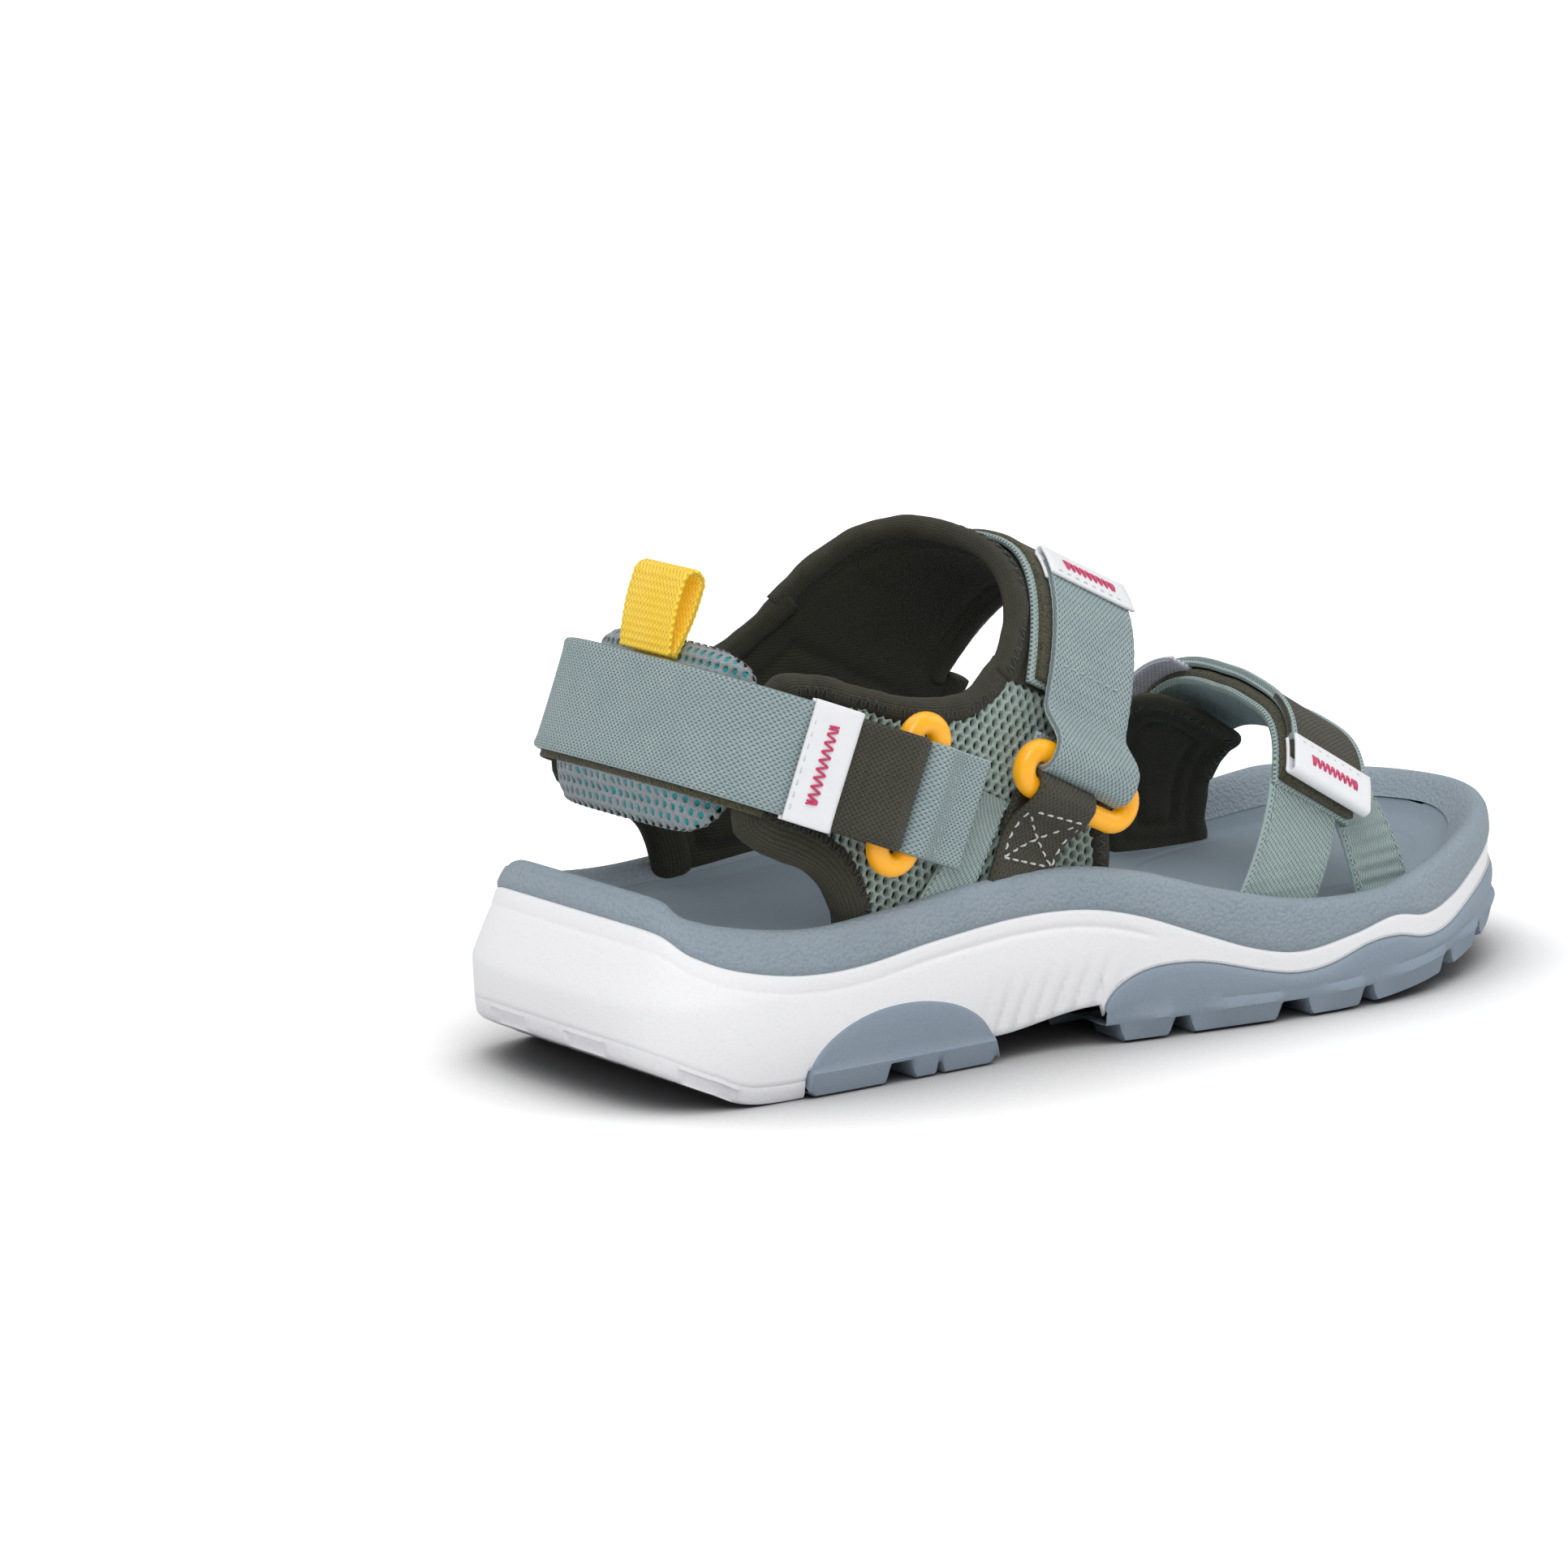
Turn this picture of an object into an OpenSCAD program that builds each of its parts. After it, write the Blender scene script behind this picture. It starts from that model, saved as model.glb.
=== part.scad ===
/* [Sole] */
// Length of the sole from the back of the heel to the toe
sole_l = 291; // [285:1:297]
// Half width of the sole at the heel
heel_half_w = 45.5; // [43:0.5:47]
// Half width of the forefoot on the outer (lateral) side
fore_half_w_lat = 53; // [51:0.5:55]
// Half width of the forefoot on the inner (medial) side
fore_half_w_med = 50; // [48:0.5:52]
// Half width of the waist on the medial side
waist_half_w_med = 44.5; // [44.5:0.5:46]
// Width of the wall that rises round the footbed
rim_wall = 4.2; // [3.8:0.1:4.2]
// Height that the toe lifts off the ground
toe_spring = 14; // [10:1:16]
// Depth of the tread blocks
lug_h = 4.5; // [3:0.5:5]

/* [Straps] */
// Width of the webbing
web_w = 27.5; // [25:0.5:28]
// Thickness of one layer of webbing
web_t = 2; // [1.6:0.1:2.2]
// Thickness of the folded tabs
tab_t = 3.6; // [3:0.2:4]
// Width of the heel pull loop
pull_w = 20; // [15:1:22]

/* [Rings] */
// Overall length of an oblong ring
ring_l = 40; // [38:0.5:42]
// Overall width of an oblong ring
ring_w = 14.6; // [14:0.2:15.4]
// Radius of the ring's round section
ring_r = 2.7; // [2.4:0.1:2.8]

/* [Upper] */
// Inner half width of the ankle part of the upper
ankle_half_w = 36; // [34:0.5:36]
// Thickness of the mesh quarters
quarter_t = 3.4; // [2.6:0.2:3.4]
// Width of the rolled edge binding
binding_w = 6; // [4:0.5:8]
// Thickness of the padded instep band
instep_t = 4.5; // [3:0.5:4.5]

/* [Hidden] */
$fn = 48;

olive = "#46473a";
sage = "#a5b8b0";
web_grey = "#91a5a6";
rubber_blue = "#8594a0";
amber = "#f5b335";

glue = 0.1;        // gap left at every bonded face
fit = 0.3;         // gap between neighbouring soft layers
far = 400;         // longer than the whole part
root_z = 33.2;     // level where the upper's straps end inside the footbed
toe_root_z = 20.6; // the same at the forefoot
waist_half_w_lat = heel_half_w - 1;

// --- Curves ---------------------------------------------------------------
function catmull(a, b, c, d, t) =
    0.5 * (2 * b + (c - a) * t + (2 * a - 5 * b + 4 * c - d) * t * t
        + (3 * b - a - 3 * c + d) * t * t * t);
function closed_curve(p, n = 5) = let (m = len(p)) [
    for (i = [0 : m - 1], k = [0 : n - 1])
        catmull(p[(i + m - 1) % m], p[i], p[(i + 1) % m], p[(i + 2) % m], k / n)];
function open_curve(p, n = 5) = let (m = len(p) - 1) concat([
    for (i = [0 : m - 1], k = [0 : n - 1])
        catmull(p[max(i - 1, 0)], p[i], p[i + 1], p[min(i + 2, m)], k / n)], [p[m]]);
function unit(v) = v / norm(v);
function left_of(v) = [-v[1], v[0]];
// Moves each point of a closed curve to the left of its direction of travel
function inset(c, d) = let (m = len(c)) [
    for (i = [0 : m - 1]) c[i] + d * left_of(unit(c[(i + 1) % m] - c[(i + m - 1) % m]))];
function power(v, e) = sign(v) * pow(abs(v), e);
function flipped(c) = [for (i = [len(c) - 1 : -1 : 0]) c[i]];

// --- Sole: plan outline and side curves, x = 0 at the back of the heel ------
function along(x) = x * sole_l / 291;
outline = closed_curve([for (p = [
    [0, 0], [3, -32], [18, -0.96 * heel_half_w], [45, -heel_half_w],
    [80, -(heel_half_w + waist_half_w_lat) / 2], [118, -waist_half_w_lat],
    [155, -(0.45 * waist_half_w_lat + 0.55 * fore_half_w_lat)], [195, -fore_half_w_lat],
    [230, -0.96 * fore_half_w_lat], [260, -0.72 * fore_half_w_lat],
    [281, -0.36 * fore_half_w_lat], [291, 4], [284, 28], [265, 0.86 * fore_half_w_med],
    [238, 0.98 * fore_half_w_med], [200, fore_half_w_med],
    [160, (fore_half_w_med + waist_half_w_med) / 2 + 1], [125, waist_half_w_med],
    [88, (waist_half_w_med + heel_half_w) / 2], [45, heel_half_w],
    [18, 0.96 * heel_half_w], [3, 32]]) [along(p[0]), p[1]]], 6);

// Line where the white midsole meets the grey rim
border = [[-6, 48.2], [6, 44.8], [14, 39.3], [25, 34], [42, 30], [60, 29.3], [82, 32.2],
    [106, 34.2], [126, 33.8], [142, 30.5], [160, 24], [176, 18.5], [190, 16.3],
    [206, 18.4], [220, 21.2], [233, 19.6], [246, 22], [260, 26.4], [276, 29.5], [297, 29]];
rim_top = [[-6, 55], [8, 50.2], [24, 42.8], [46, 39.5], [70, 41], [95, 43.6], [122, 44.2],
    [143, 41], [165, 34.5], [190, 29], [216, 28], [237, 31.5], [263, 36], [280, 38.5], [297, 39]];
footbed_top = [[-6, 40], [25, 35], [60, 34.2], [100, 36.8], [125, 36.2], [150, 31], [175, 26],
    [200, 23.4], [225, 23.6], [250, 26], [275, 29], [297, 31]];
outsole_top = [[131.5, 7], [133, 11], [137.5, 14.8], [144, 17.2], [152, 17.8], [162, 16.8],
    [178, 12.8], [188, 11.2], [198, 12], [211, 15.6], [221, 16], [232, 14], [242, 15],
    [256, 19.5], [272, 23], [297, 23.5]];
pod_c = 71.5;      // middle of the heel pod
pod_half_l = 28.5; // its half length
pod_h = 19;        // its height on the side wall
arch_z = 8.5;      // clearance under the arch

function lift(x) = x < 200 ? 0 : toe_spring * pow((x - 200) / 91, 1.6);
heel_bevel = [[-6, 13], [0, 12], [8, 8.5], [18, 4], [30, 0]];
pod_curve = [for (a = [180 : -9 : 0]) [pod_c + pod_half_l * cos(a), pod_h * pow(sin(a), 0.8)]];
spring_curve = [for (x = [200 : 8 : 296]) [x, lift(x)]];

side_x = [-6, 0, 6, 14, 22, 32, 45, 60, 80, 100, 120, 135, 150, 165, 180, 195, 210, 225, 240, 255,
    270, 283, 297];
function raised(c, dz) = [for (p = c) p + [0, dz]];
// Floor of the tray that holds the footbed
tray_floor = [for (x = side_x) [x, min(lookup(x, open_curve(border)) - 2,
    lookup(x, open_curve(footbed_top)) - 5)]];

// Prism seen from the side: its profile is drawn in x and z
module side_prism(profile) {
    translate([0, far / 2, 0]) rotate([90, 0, 0]) linear_extrude(far) polygon(profile);
}
module plan_prism(curve) {
    translate([0, 0, -1]) linear_extrude(160) polygon(curve);
}
module between(low, high) {
    side_prism(concat(low, flipped(high)));
}

module midsole() {
    color("#f5f5f8") difference() {
        intersection() {
            plan_prism(outline);
            between(concat(raised(heel_bevel, lug_h + glue), [[43, lug_h + glue], [43, arch_z - 2],
                [100, arch_z - 2], [116, arch_z], [130, 10]],
                [for (p = open_curve(outsole_top)) if (p[0] > 131) p + [0, glue]]),
                open_curve(border));
        }
        intersection() {
            plan_prism(inset(outline, rim_wall / 2));
            between(tray_floor, [[-6, 150], [297, 150]]);
        }
        side_prism(concat([[pod_c - pod_half_l - glue, -1]],
            [for (p = pod_curve) p + [sign(p[0] - pod_c) * glue, glue]],
            [[pod_c + pod_half_l + glue, -1]]));
    }
}

// White rubber tread under the back of the heel, split into blocks
module heel_tread() {
    color("#f2f2f4") difference() {
        intersection() {
            plan_prism(outline);
            between(concat(heel_bevel, [[42.8, 0]]),
                raised(concat(heel_bevel, [[42.8, 0]]), lug_h));
        }
        for (y = [-22, 0, 22]) translate([-10, y - 1.5, -1]) cube([54, 3, 1 + lug_h / 2]);
        translate([24, -60, -1]) cube([3, 120, 1 + lug_h / 2]);
    }
}

// Grey rubber pod under the heel and arch
module heel_pod() {
    color(rubber_blue) difference() {
        intersection() {
            plan_prism(outline);
            side_prism(pod_curve);
        }
        translate([66.5, -60, -1]) cube([7.5, 120, 1 + lug_h]);
        for (y = [-20, 20]) translate([40, y - 2.5, -1]) cube([62, 5, 1 + lug_h]);
    }
}

// Rows of tread blocks: centre x, length
lug_rows = [[143, 12], [161, 13], [180, 14], [200, 14], [220, 14], [240, 13], [258, 12], [275, 11]];
module forefoot_outsole() {
    color(rubber_blue) intersection() {
        plan_prism(outline);
        union() {
            between(raised(concat([[131.5, 0]], spring_curve), lug_h), open_curve(outsole_top));
            for (row = lug_rows) tread_row(row[0], row[1]);
        }
    }
}
module tread_row(x, l) {
    for (y = [-52, -26, 0, 26, 52])
        translate([x - l / 2 + (abs(y) > 20 ? 0 : 2), y - 11, lift(x)])
            rotate([0, -atan((lift(x + 5) - lift(x - 5)) / 10), 0])
                cube([l, 22, lug_h + 2]);
}

module rim() {
    color(rubber_blue) difference() {
        intersection() {
            plan_prism(outline);
            union() {
                between(raised(open_curve(border), glue), open_curve(rim_top));
                intersection() {
                    plan_prism(inset(outline, rim_wall / 2 + glue));
                    between(raised(tray_floor, glue), open_curve(rim_top));
                }
            }
        }
        plan_prism(inset(outline, rim_wall));
    }
}

module footbed() {
    color("#8a99a6") difference() {
        intersection() {
            plan_prism(inset(outline, rim_wall + glue));
            between(raised(tray_floor, glue), open_curve(footbed_top));
        }
        for (side = [0, 1]) mirror([0, side, 0])
            strap_slot(44, 143, ankle_half_w - 2.2, root_z);
        mirror([0, 1, 0]) strap_slot(166, 242, 38.2, toe_root_z);
        strap_slot(198, 240, 33.6, toe_root_z);
    }
}
// Slot beside the footbed's edge where straps go down
module strap_slot(x0, x1, y, root) {
    translate([x0, y, root - fit]) cube([x1 - x0, 20, 40]);
}

// --- Upper: two arched forms, each a constant arch swept along a slope -------
// A form is [slope, half width, side centre, spring line, rise]
ankle_form = [26, ankle_half_w, 0, 68, 90];
toe_form = [30, 43, -2.3, 112, 54];
arch_step = 4;

// Point on a form's arch. 0 to 180 runs from the lateral side over the top to the
// medial side; below 0 and above 180 the legs run straight down by that many mm.
function arch_point(f, u) = let (
        k = max(0, min(180, u)),
        drop = u < 0 ? -u : max(0, u - 180))
    [f[2] - f[1] * power(cos(k), 0.77), f[3] + f[4] * pow(sin(k), 0.91) - drop];
function arch_normal(f, u) = u <= 0 ? [-1, 0] : u >= 180 ? [1, 0]
    : unit(left_of(arch_point(f, u + 0.5) - arch_point(f, u - 0.5)));
function arch_offset(f, u, o) = arch_point(f, u) + o * arch_normal(f, u);
function arch_stations(u0, u1) = concat([u0],
    [for (u = [-60 : arch_step : 240]) if (u > u0 + 0.1 && u < u1 - 0.1) u], [u1]);
function arch_band(f, o0, o1, u0, u1) = let (us = arch_stations(u0, u1)) concat(
    [for (u = us) arch_offset(f, u, o0)], flipped([for (u = us) arch_offset(f, u, o1)]));

// Places children, drawn with x along the form's axis, on the form's slope
module on_form(f) {
    rotate([0, f[0], 0]) children();
}
module ribbon(f, s0, s1, o0, o1, u0, u1) {
    on_form(f) translate([s0, 0, 0]) rotate([90, 0, 90])
        linear_extrude(s1 - s0) polygon(arch_band(f, o0, o1, u0, u1));
}
module ankle_shell(o0, o1, u0, u1) {
    intersection() {
        ribbon(ankle_form, -60, 160, o0, o1, u0, u1);
        children();
    }
}

// Side view of a quarter. The part below root_z and above the seam is cut away.
lateral_edge = closed_curve([[58, 20], [50, 46], [41, 63], [37.5, 79], [39, 91], [46, 97],
    [56, 94.5], [70, 87.5], [85, 83.5], [99, 86], [110, 94], [119, 104], [128, 116], [146, 112],
    [150, 96], [150, 80], [142, 56], [130, 20]]);
medial_edge = closed_curve([[58, 20], [50, 46], [41, 63], [37.5, 77], [39.5, 88], [47, 92.5],
    [60, 89], [73, 90.5], [85, 98], [95, 108], [103, 118], [120, 124], [146, 112],
    [151, 94], [149, 76], [140, 54], [128, 20]]);
seam_u = 42;       // arch position of the seam between quarter and instep band
over_root = [[20, root_z], [170, root_z], [170, 140], [20, 140]];
over_rim = [[20, 44.8], [170, 44.8], [170, 140], [20, 140]];

module quarter(edge) {
    ankle_shell(0, quarter_t, -60, seam_u) intersection() {
        side_prism(inset(edge, -binding_w - glue));
        side_prism(over_root);
    }
}
module binding(edge) {
    ankle_shell(-0.8, quarter_t + 0.8, -60, seam_u) intersection() {
        difference() {
            side_prism(edge);
            side_prism(inset(edge, -binding_w));
        }
        side_prism(over_root);
    }
}
module lateral_quarter() {
    color(sage) quarter(lateral_edge);
}
module lateral_binding() {
    color(olive) binding(lateral_edge);
}
module medial_quarter() {
    color(sage) mirror([0, 1, 0]) quarter(medial_edge);
}
module medial_binding() {
    color(olive) mirror([0, 1, 0]) binding(medial_edge);
}

// Padded band over the instep, drawn in plan on the form's slope
band_plan = concat(
    open_curve([[56, -45], [58, -30], [61, -20], [56, -4], [46, 13], [34, 30], [31, 45]]),
    flipped(open_curve([[99, -45], [95, -24], [92, 0], [93, 24], [97, 45]])));
module instep_band() {
    color(olive) intersection() {
        ribbon(ankle_form, 20, 110, 0, instep_t, seam_u + 1, 179 - seam_u);
        on_form(ankle_form) linear_extrude(far) polygon(band_plan);
    }
}

// --- Rings and webbing loops ------------------------------------------------
ring_c = ring_w / 2 - ring_r;       // bar's distance from the ring's middle
ring_h = ring_l / 2 - ring_w / 2;   // half length of the straight bars
loop_in = ring_r + 0.4;             // inside radius of a webbing loop held on a bar
slack_in = ring_r + 1.1;            // inside radius of a loop that the bar swings in
loop_t = 1.1;

module oblong_ring() {
    color(amber) {
        for (side = [-1, 1]) translate([side * ring_c, 0, -ring_h])
            cylinder(r = ring_r, h = 2 * ring_h);
        for (end = [0, 1]) mirror([0, 0, end]) translate([0, 0, ring_h]) rotate([90, 0, 0])
            rotate_extrude(angle = 180) translate([ring_c, 0]) circle(r = ring_r);
    }
}
// Webbing folded round a bar that runs along z, with a flat tail towards -x
module web_loop(inner_r, tail_l, tail_t, tail_y, w = web_w) {
    translate([0, 0, -w / 2]) linear_extrude(w) difference() {
        union() {
            circle(r = inner_r + loop_t);
            translate([-tail_l, tail_y - tail_t / 2]) square([tail_l, tail_t]);
        }
        circle(r = inner_r);
    }
}

// Ankle rings lie along the form's slope
ring_s = 84;       // place along the slope
ankle_ring_u = 112; // height of the ring's middle, measured across the slope
ankle_ring_y = 43.8;
strap_s0 = ring_s - web_w / 2;
strap_s1 = ring_s + web_w / 2;
module at_ankle_ring(side) {
    mirror([0, side, 0]) on_form(ankle_form)
        translate([ring_s, -ankle_ring_y, ankle_ring_u]) rotate([0, 90, 0]) children();
}
module lateral_ankle_ring() {
    at_ankle_ring(0) oblong_ring();
}
module medial_ankle_ring() {
    at_ankle_ring(1) oblong_ring();
}
// Narrower webbing sewn to the quarter below an ankle ring
holder_o = quarter_t + 0.8 + fit;
holder_w = 18.5;
holder_s0 = strap_s0;
module ankle_holder(side) {
    mirror([0, side, 0]) ankle_shell(holder_o, holder_o + web_t, -60, 22) intersection() {
        side_prism(over_rim);
        on_form(ankle_form) translate([holder_s0, -far / 2, 0]) cube([holder_w, far, 200]);
    }
    at_ankle_ring(side) translate([ring_c, 0, holder_s0 + holder_w / 2 - ring_s]) rotate([0, 0, 180])
        web_loop(loop_in, 9, 2, -1, holder_w);
}
module lateral_ankle_holder() {
    color(olive) ankle_holder(0);
}
module medial_ankle_holder() {
    color(olive) ankle_holder(1);
}

// Olive webbing with loop pile, sewn over the instep band
pile_o = instep_t + fit;
pile_t = 2.4;
module instep_pile_strap() {
    color(olive) {
        ribbon(ankle_form, strap_s0 - 4.5, strap_s1, pile_o, pile_o + pile_t, 40, 150);
        at_ankle_ring(1) translate([-ring_c, 0, 0]) web_loop(slack_in, 12, 2, 2.6);
    }
}

// Ankle strap: loop on the lateral ring, then the flap that opens
strap_o = pile_o + pile_t + fit;
flap_u0 = 38;
tab_u0 = 68;
tab_u1 = 76;
module ankle_strap_loop() {
    color(web_grey) at_ankle_ring(0) translate([-ring_c, 0, 0]) web_loop(slack_in, 6.4, 3, -1.5);
}
module ankle_strap_flap() {
    color(web_grey)
        ribbon(ankle_form, strap_s0, strap_s1, strap_o, strap_o + web_t, flap_u0, tab_u0);
}
module ankle_strap_tab() {
    color("white") ribbon(ankle_form, strap_s0 - 0.6, strap_s1 + 0.6, strap_o, strap_o + tab_t,
        tab_u0 + 0.1, tab_u1);
}

// --- Heel: band, flap and pad on a tilted loop --------------------------------
heel_tilt = 21;
heel_z = 90;       // middle of the heel strap across the tilt
heel_back = -7.5;  // back of the strap's middle line along the tilt
heel_half = 45.3;   // half width of the strap's middle line
heel_run = 46.3;   // length over which the line reaches its full width
heel_square = 0.55; // exponent of the rounded-square line; 1 would be an ellipse

// Point on the heel line: -90 is the lateral end, 0 the back, 90 the medial end
function heel_point(v) = [heel_back + heel_run * (1 - pow(cos(v), heel_square)),
    heel_half * power(sin(v), heel_square)];
function heel_normal(v) = unit(left_of(heel_point(min(90, v + 0.5)) - heel_point(max(-90, v - 0.5))));
function heel_offset(v, o) = heel_point(v) + o * heel_normal(v);
function heel_band(o0, o1, v0, v1) = let (n = max(2, ceil((v1 - v0) / 4))) concat(
    [for (i = [0 : n]) heel_offset(v0 + (v1 - v0) * i / n, o0)],
    [for (i = [n : -1 : 0]) heel_offset(v0 + (v1 - v0) * i / n, o1)]);
module on_heel() {
    rotate([0, heel_tilt, 0]) children();
}
module heel_ribbon(o0, o1, v0, v1, z0, z1) {
    on_heel() translate([0, 0, z0]) linear_extrude(z1 - z0) polygon(heel_band(o0, o1, v0, v1));
}
heel_bar = heel_back + heel_run;    // rear bar of both heel rings
strap_lo = heel_z - web_w / 2;
strap_hi = heel_z + web_w / 2;
heel_o = 1.4;      // inner face of the grey strap
heel_flap_v = -33; // where the flap starts
heel_tab_v0 = -64;
heel_tab_v1 = -80;

module at_heel_bar(side, x) {
    on_heel() translate([x, (side == 0 ? -1 : 1) * heel_half, heel_z]) children();
}
module lateral_heel_ring() {
    at_heel_bar(0, heel_bar + ring_c) oblong_ring();
}
module medial_heel_ring() {
    at_heel_bar(1, heel_bar + ring_c) oblong_ring();
}
module heel_holder(side) {
    mirror([0, side, 0]) at_heel_bar(0, heel_bar + 2 * ring_c) rotate([0, 0, 180])
        web_loop(loop_in, 17, 2.6, -0.9);
}
module lateral_heel_holder() {
    color(web_grey) heel_holder(0);
}
module medial_heel_holder() {
    color(web_grey) heel_holder(1);
}
module diagonal_web(side) {
    mirror([0, side, 0]) ankle_shell(holder_o - 0.6, holder_o + 0.8, -60, 22)
        intersection() {
            side_prism([[61, 20], [86.5, 20], [106.3, 60.5], [99, 64]]);
            side_prism(over_rim);
        }
}
module lateral_diagonal_web() {
    color(web_grey) diagonal_web(0);
}
module medial_diagonal_web() {
    color(web_grey) diagonal_web(1);
}
// Olive pile strap on the lateral ring, under the flap
module heel_pile_strap() {
    color(olive) {
        heel_ribbon(-0.5, 1.1, -86, -46, strap_lo, strap_hi);
        at_heel_bar(0, heel_bar) web_loop(slack_in, 9, 2.2, 0);
    }
}
module heel_strap_band() {
    color(web_grey) {
        heel_ribbon(heel_o, heel_o + web_t, heel_flap_v + 0.6, 86, strap_lo, strap_hi);
        at_heel_bar(1, heel_bar) web_loop(slack_in, 9, web_t, heel_o + web_t / 2);
    }
}
module heel_strap_flap() {
    color(web_grey)
        heel_ribbon(heel_o, heel_o + web_t, heel_tab_v0, heel_flap_v, strap_lo, strap_hi);
}
module heel_strap_tab() {
    color("white") heel_ribbon(heel_o, heel_o + tab_t, heel_tab_v1, heel_tab_v0 - 0.1,
        strap_lo - 0.6, strap_hi + 0.6);
}
pad_lo = 68;
pad_hi = 109;
pad_t = 8.6;     // thickness of the pad
pad_o = -1.9;    // its outer face
module heel_pad() {
    color("#7d9493") heel_ribbon(pad_o - pad_t, pad_o, -43, 43, pad_lo, pad_hi);
}

// Pull loop: a sewn root between strap and pad, and the free loop above it
pull_t = 1.5;
pull_h = 21;
pull_r = 3.6;
module pull_loop_root() {
    color("#fbd44a") on_heel() translate([heel_back - 0.95, -pull_w / 2, heel_z - 8])
        cube([2, pull_w, strap_hi - heel_z + 8]);
}
module pull_loop() {
    color("#fbd44a") on_heel() translate([heel_back, pull_w / 2, strap_hi + 1.1])
        rotate([90, 0, 0]) linear_extrude(pull_w) difference() {
            polygon(drop(pull_r, 1, 0));
            polygon(drop(pull_r - pull_t, 0.1, 4));
        }
}
// Drop shape, narrow at the foot and round at the top
function drop(r, foot, z) = concat([[-foot, z]],
    [for (a = [180 : -15 : 0]) [r * cos(a), pull_h - pull_r + r * sin(a)]], [[foot, z]]);

// --- Toe closure ------------------------------------------------------------
toe_s_lat = 136;    // rear edge of the strap on the lateral side
toe_s_med = 147;    // and at its medial fold, where it runs further forward
toe_top_o = 5;      // inner face of the flap
toe_pile_u0 = 33;
toe_flap_u0 = 46;
toe_flap_u1 = 128;
toe_area = [[150, toe_root_z], [290, toe_root_z], [290, 140], [150, 140]];

// Strap over the forefoot, running a little forward from the lateral to the medial side
module toe_strip(o0, o1, u0, u1, extra = 0) {
    intersection() {
        ribbon(toe_form, 120, 190, o0, o1, u0, u1);
        on_form(toe_form) linear_extrude(far) polygon(concat(
            [for (p = [[0, -60], [0, -37.3], [1, 27.3], [1, 60]])
                [toe_s_lat - extra + p[0] * (toe_s_med - toe_s_lat), p[1]]],
            [for (p = [[1, 60], [1, 27.3], [0, -37.3], [0, -60]])
                [toe_s_lat + extra + web_w + p[0] * (toe_s_med - toe_s_lat), p[1]]]));
    }
}
module toe_rear_leg() {
    color(web_grey) intersection() {
        ribbon(toe_form, toe_s_lat - 0.3, toe_s_lat + 23.7, -fit, 1.1, -60, toe_pile_u0 - 0.6);
        side_prism(toe_area);
    }
}
// The front leg leans: a lower part drawn across the slope and an upper part drawn in plan
module toe_front_leg() {
    color(web_grey) intersection() {
        union() {
            intersection() {
                ribbon(toe_form, 120, 260, -web_t - fit, -fit - glue, -60, 46);
                on_form(toe_form) side_prism([[182.3, 121], [206.8, 121], [182, 151.4], [156, 151.4]]);
            }
            intersection() {
                ribbon(toe_form, 120, 260, -web_t - fit, -fit - glue, 45.9, 80);
                on_form(toe_form) linear_extrude(far)
                    polygon([[156, -35], [182, -35], [174.5, -27.5], [163.5, -13.5], [141, -13.5],
                        [149, -27.5]]);
            }
        }
        side_prism(toe_area);
    }
}
// Olive pile strap over the forefoot
module toe_pile_strap() {
    color(olive) toe_strip(0, toe_top_o - fit, toe_pile_u0, 131);
}
// Padded panel: outside the strap's fold it is thick, under the strap it is thin
toe_panel_edge = [[206, 10], [201, 34], [194, 52], [191, 64], [196, 70], [207, 69], [219, 64],
    [232, 56], [230.5, 47], [232, 34], [234, 10]];
module toe_panel() {
    color(olive) intersection() {
        union() {
            ribbon(toe_form, 60, 260, -2.6, 4, 133, 240);
            ribbon(toe_form, 60, 260, -2.6, -fit, 110, 134);
        }
        side_prism(open_curve(toe_panel_edge));
        side_prism(toe_area);
    }
}
// White webbing keeper that the strap folds through
module toe_keeper() {
    color("white") toe_strip(4 + fit, 6.2, 132, 140, 1);
}
module toe_strap_flap() {
    color(olive) toe_strip(toe_top_o, toe_top_o + web_t, toe_flap_u0, toe_flap_u1);
}
module toe_strap_tab() {
    color("white") toe_strip(toe_top_o, toe_top_o + tab_t, toe_flap_u0 - 11, toe_flap_u0 - 0.1, 0.6);
}

// --- The part: origin on the ground under the middle of the sole ---------------
module placed() {
    translate([-sole_l / 2, 0, 0]) children();
}
placed() midsole();
placed() heel_tread();
placed() heel_pod();
placed() forefoot_outsole();
placed() rim();
placed() footbed();
placed() lateral_quarter();
placed() lateral_binding();
placed() medial_quarter();
placed() medial_binding();
placed() instep_band();
placed() instep_pile_strap();
placed() lateral_diagonal_web();
placed() medial_diagonal_web();
placed() lateral_ankle_holder();
placed() medial_ankle_holder();
placed() lateral_heel_holder();
placed() medial_heel_holder();
placed() lateral_ankle_ring();
placed() medial_ankle_ring();
placed() lateral_heel_ring();
placed() medial_heel_ring();
placed() ankle_strap_loop();
placed() ankle_strap_flap();
placed() ankle_strap_tab();
placed() heel_strap_band();
placed() heel_strap_flap();
placed() heel_strap_tab();
placed() heel_pile_strap();
placed() heel_pad();
placed() pull_loop_root();
placed() pull_loop();
placed() toe_rear_leg();
placed() toe_front_leg();
placed() toe_panel();
placed() toe_pile_strap();
placed() toe_keeper();
placed() toe_strap_flap();
placed() toe_strap_tab();
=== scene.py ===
"""The looks of a strappy sport sandal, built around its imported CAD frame.

Shapes are worked out in millimetres from the back of the heel (x forward, y towards the
inner side, z up) and turned into the frame's metres when a mesh is made.
"""
import math

import bpy
import numpy as np
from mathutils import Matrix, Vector, geometry
from mathutils.bvhtree import BVHTree


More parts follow.
